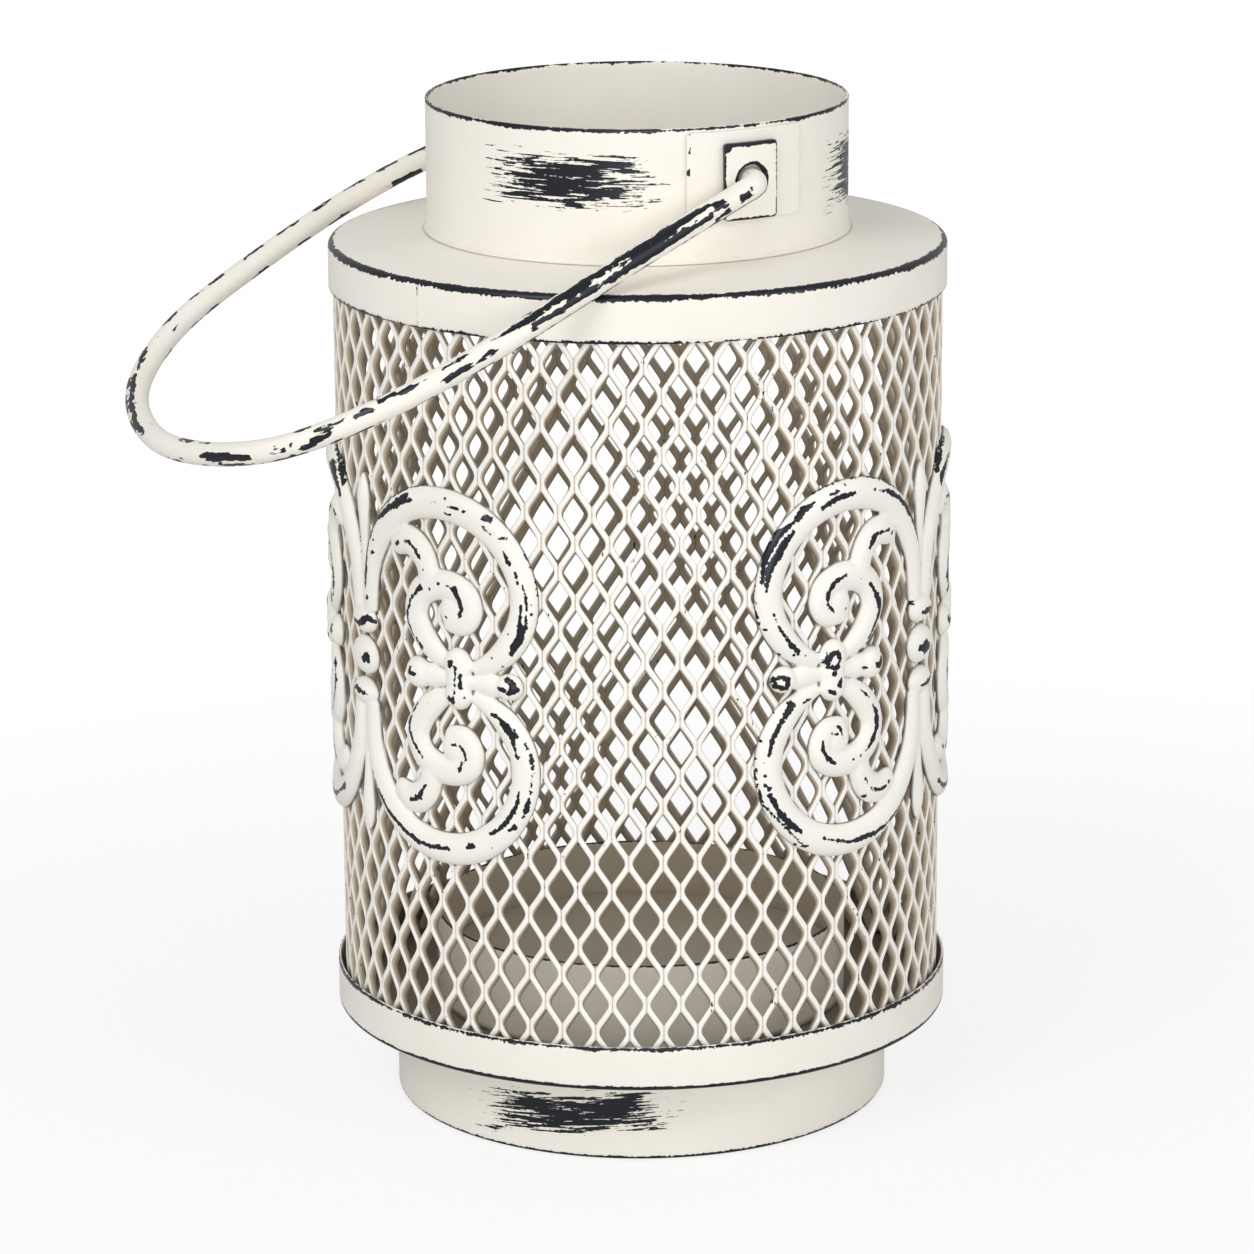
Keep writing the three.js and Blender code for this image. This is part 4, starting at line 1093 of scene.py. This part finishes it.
def remeshed(solids, voxel):
    """One skin round all the solids, evenly meshed and smoothed."""
    points, faces = [], []
    for rings in solids:
        start = sum(len(p) for p in points)
        rows, columns = rings.shape[:2]
        flat = rings.reshape(-1, 3)
        points.append(flat)
        faces += grid_faces(rows, columns, start=start)
        faces += [
            tuple(start + j for j in range(columns))[::-1],
            tuple(start + rows * columns - columns + j for j in range(columns)),
        ]
    data = bpy.data.meshes.new("ornament_blank")
    data.from_pydata(np.vstack(points).tolist(), [], faces)
    data.update()
    work = bpy.data.objects.new("ornament_blank", data)
    bpy.context.scene.collection.objects.link(work)
    remesh = work.modifiers.new("remesh", "REMESH")
    remesh.mode = "VOXEL"
    remesh.voxel_size = voxel
    soften = work.modifiers.new("soften", "SMOOTH")
    soften.factor = 0.5
    soften.iterations = 3
    result = bpy.data.meshes.new_from_object(work.evaluated_get(bpy.context.evaluated_depsgraph_get()))
    bpy.data.objects.remove(work)
    bpy.data.meshes.remove(data)
    return result


def make_scrolls():
    """Both ornaments, bent from one flat casting round the mesh."""
    blank = remeshed(flat_ornament(), SCROLL_VOXEL)
    flat = np.empty(len(blank.vertices) * 3)
    blank.vertices.foreach_get("co", flat)
    flat = flat.reshape(-1, 3)
    faces = [tuple(p.vertices) for p in blank.polygons]
    bpy.data.meshes.remove(blank)
    rim = MESH_RADIUS + SEAT
    material = scroll_paint()
    for side, (angle, height) in SCROLL_PLACES.items():
        from_angle, from_height = CHIP_ORIGINS[side]
        shift = [math.radians(angle - from_angle) * rim, height - from_height]
        front_gap = chip_gap(flat[:, :2] + shift, SCROLL_CHIPS[side])
        mirrored_gap = chip_gap(flat[:, :2] * (-1, 1) + shift, SCROLL_CHIPS[side])
        past_middle = math.copysign(1, angle) * flat[:, 0]
        gap = np.minimum(front_gap, mirrored_gap + np.clip(FAR_CHIPS_FROM - past_middle, 0, FAR_CHIPS_FROM))
        radius = np.minimum(SCROLL_BACK + flat[:, 2], rim + RELIEF_LIMIT)
        turn = flat[:, 0] / rim + math.radians(angle)
        points = np.stack([radius * np.sin(turn), -radius * np.cos(turn), height + flat[:, 1]], 1)
        piece = make_object(f"ornament_{side}", points, faces, {"gap": gap, "rise": flat[:, 2]})
        dress(piece, "lantern", f"scroll_{side}", material)


def scroll_paint():
    """Cream paint made lighter as painted light, with painted shadow in patches at the ornament's foot, and
    chipped to dark metal along its ridges.
    """
    finish = Finish("scroll_paint")
    # Painted shadow in patches at the ornament's foot
    low = finish.opposite(finish.step(finish.attribute("rise").outputs["Fac"], 0.15, 0.85))
    patchy = finish.blotches(6, 2, 65, -0.45, 0.2)
    painted_foot_shadow = finish.times(low, finish.plus(finish.times(patchy, 0.5), 0.5))
    colour = finish.mix(painted_foot_shadow, SCROLL_CREAM_LIT, FOOT_SHADOW_PAINT)
    return finish.paint(finish.worn_edges(0.9, 0.1, 61, 0.12), colour=colour)


# Floor and light


def make_floor():
    """A pale floor that shows the lantern's shadow, made slightly greyer near the lantern by a painted
    shadow.
    """
    corners = [(x * FLOOR_HALF, y * FLOOR_HALF, 0) for x, y in ((-1, -1), (1, -1), (1, 1), (-1, 1))]
    floor = make_object("floor", corners, [(0, 1, 2, 3)], smooth=False)
    finish = Finish("floor_white")
    seen = finish.node("ShaderNodeLightPath").outputs["Is Camera Ray"]
    matt = finish.node("ShaderNodeBsdfDiffuse", {"Color": FLOOR_MATT})
    faint = finish.node("ShaderNodeBsdfDiffuse", {"Color": FLOOR_SHADOW})
    # Painted shadow: the camera sees a dimmer white near the lantern, which also lets the real shadow show
    away = finish.step(finish.reach, FOOT_RADIUS, FLOOR_FADE)
    strength = finish.plus(finish.times(away, FLOOR_FAR_GLOW - FLOOR_GLOW_IN_PAINTED_SHADOW), FLOOR_GLOW_IN_PAINTED_SHADOW)
    glow = finish.node("ShaderNodeEmission", {"Color": (1, 1, 1, 1), "Strength": strength})
    bright = finish.node("ShaderNodeAddShader", {0: faint.outputs[0], 1: glow.outputs[0]})
    finish.output(finish.node("ShaderNodeMixShader", {0: seen, 1: matt.outputs[0], 2: bright.outputs[0]}))
    floor.data.materials.append(finish.material)


def make_lamp(name, place, target, size, power):
    data = bpy.data.lights.new(name, "AREA")
    data.shape = "DISK"
    data.size = size
    data.energy = power
    lamp = bpy.data.objects.new(name, data)
    lamp.location = place
    lamp.rotation_euler = (Vector(target) - Vector(place)).to_track_quat("-Z", "Y").to_euler()
    bpy.context.scene.collection.objects.link(lamp)


def make_light():
    """Soft lamps, and a world that is white to the camera and dimmer as light."""
    for lamp in LAMPS:
        make_lamp(*lamp)
    world = bpy.data.worlds.new("studio")
    bpy.context.scene.world = world
    world.use_nodes = True
    tree = world.node_tree
    tree.nodes.clear()
    path = tree.nodes.new("ShaderNodeLightPath")
    soft = tree.nodes.new("ShaderNodeBackground")
    soft.inputs["Strength"].default_value = WORLD_STRENGTH
    white = tree.nodes.new("ShaderNodeBackground")
    for background in (soft, white):
        background.inputs["Color"].default_value = (1, 1, 1, 1)
    mixed = tree.nodes.new("ShaderNodeMixShader")
    output = tree.nodes.new("ShaderNodeOutputWorld")
    tree.links.new(path.outputs["Is Camera Ray"], mixed.inputs[0])
    tree.links.new(soft.outputs[0], mixed.inputs[1])
    tree.links.new(white.outputs[0], mixed.inputs[2])
    tree.links.new(mixed.outputs[0], output.inputs["Surface"])


make_camera()
make_foot()
make_base()
make_cup()
make_cap()
make_neck()
make_mesh()
make_ears()
make_handle()
make_scrolls()
make_floor()
make_light()

bpy.context.scene.view_settings.view_transform = "Standard"
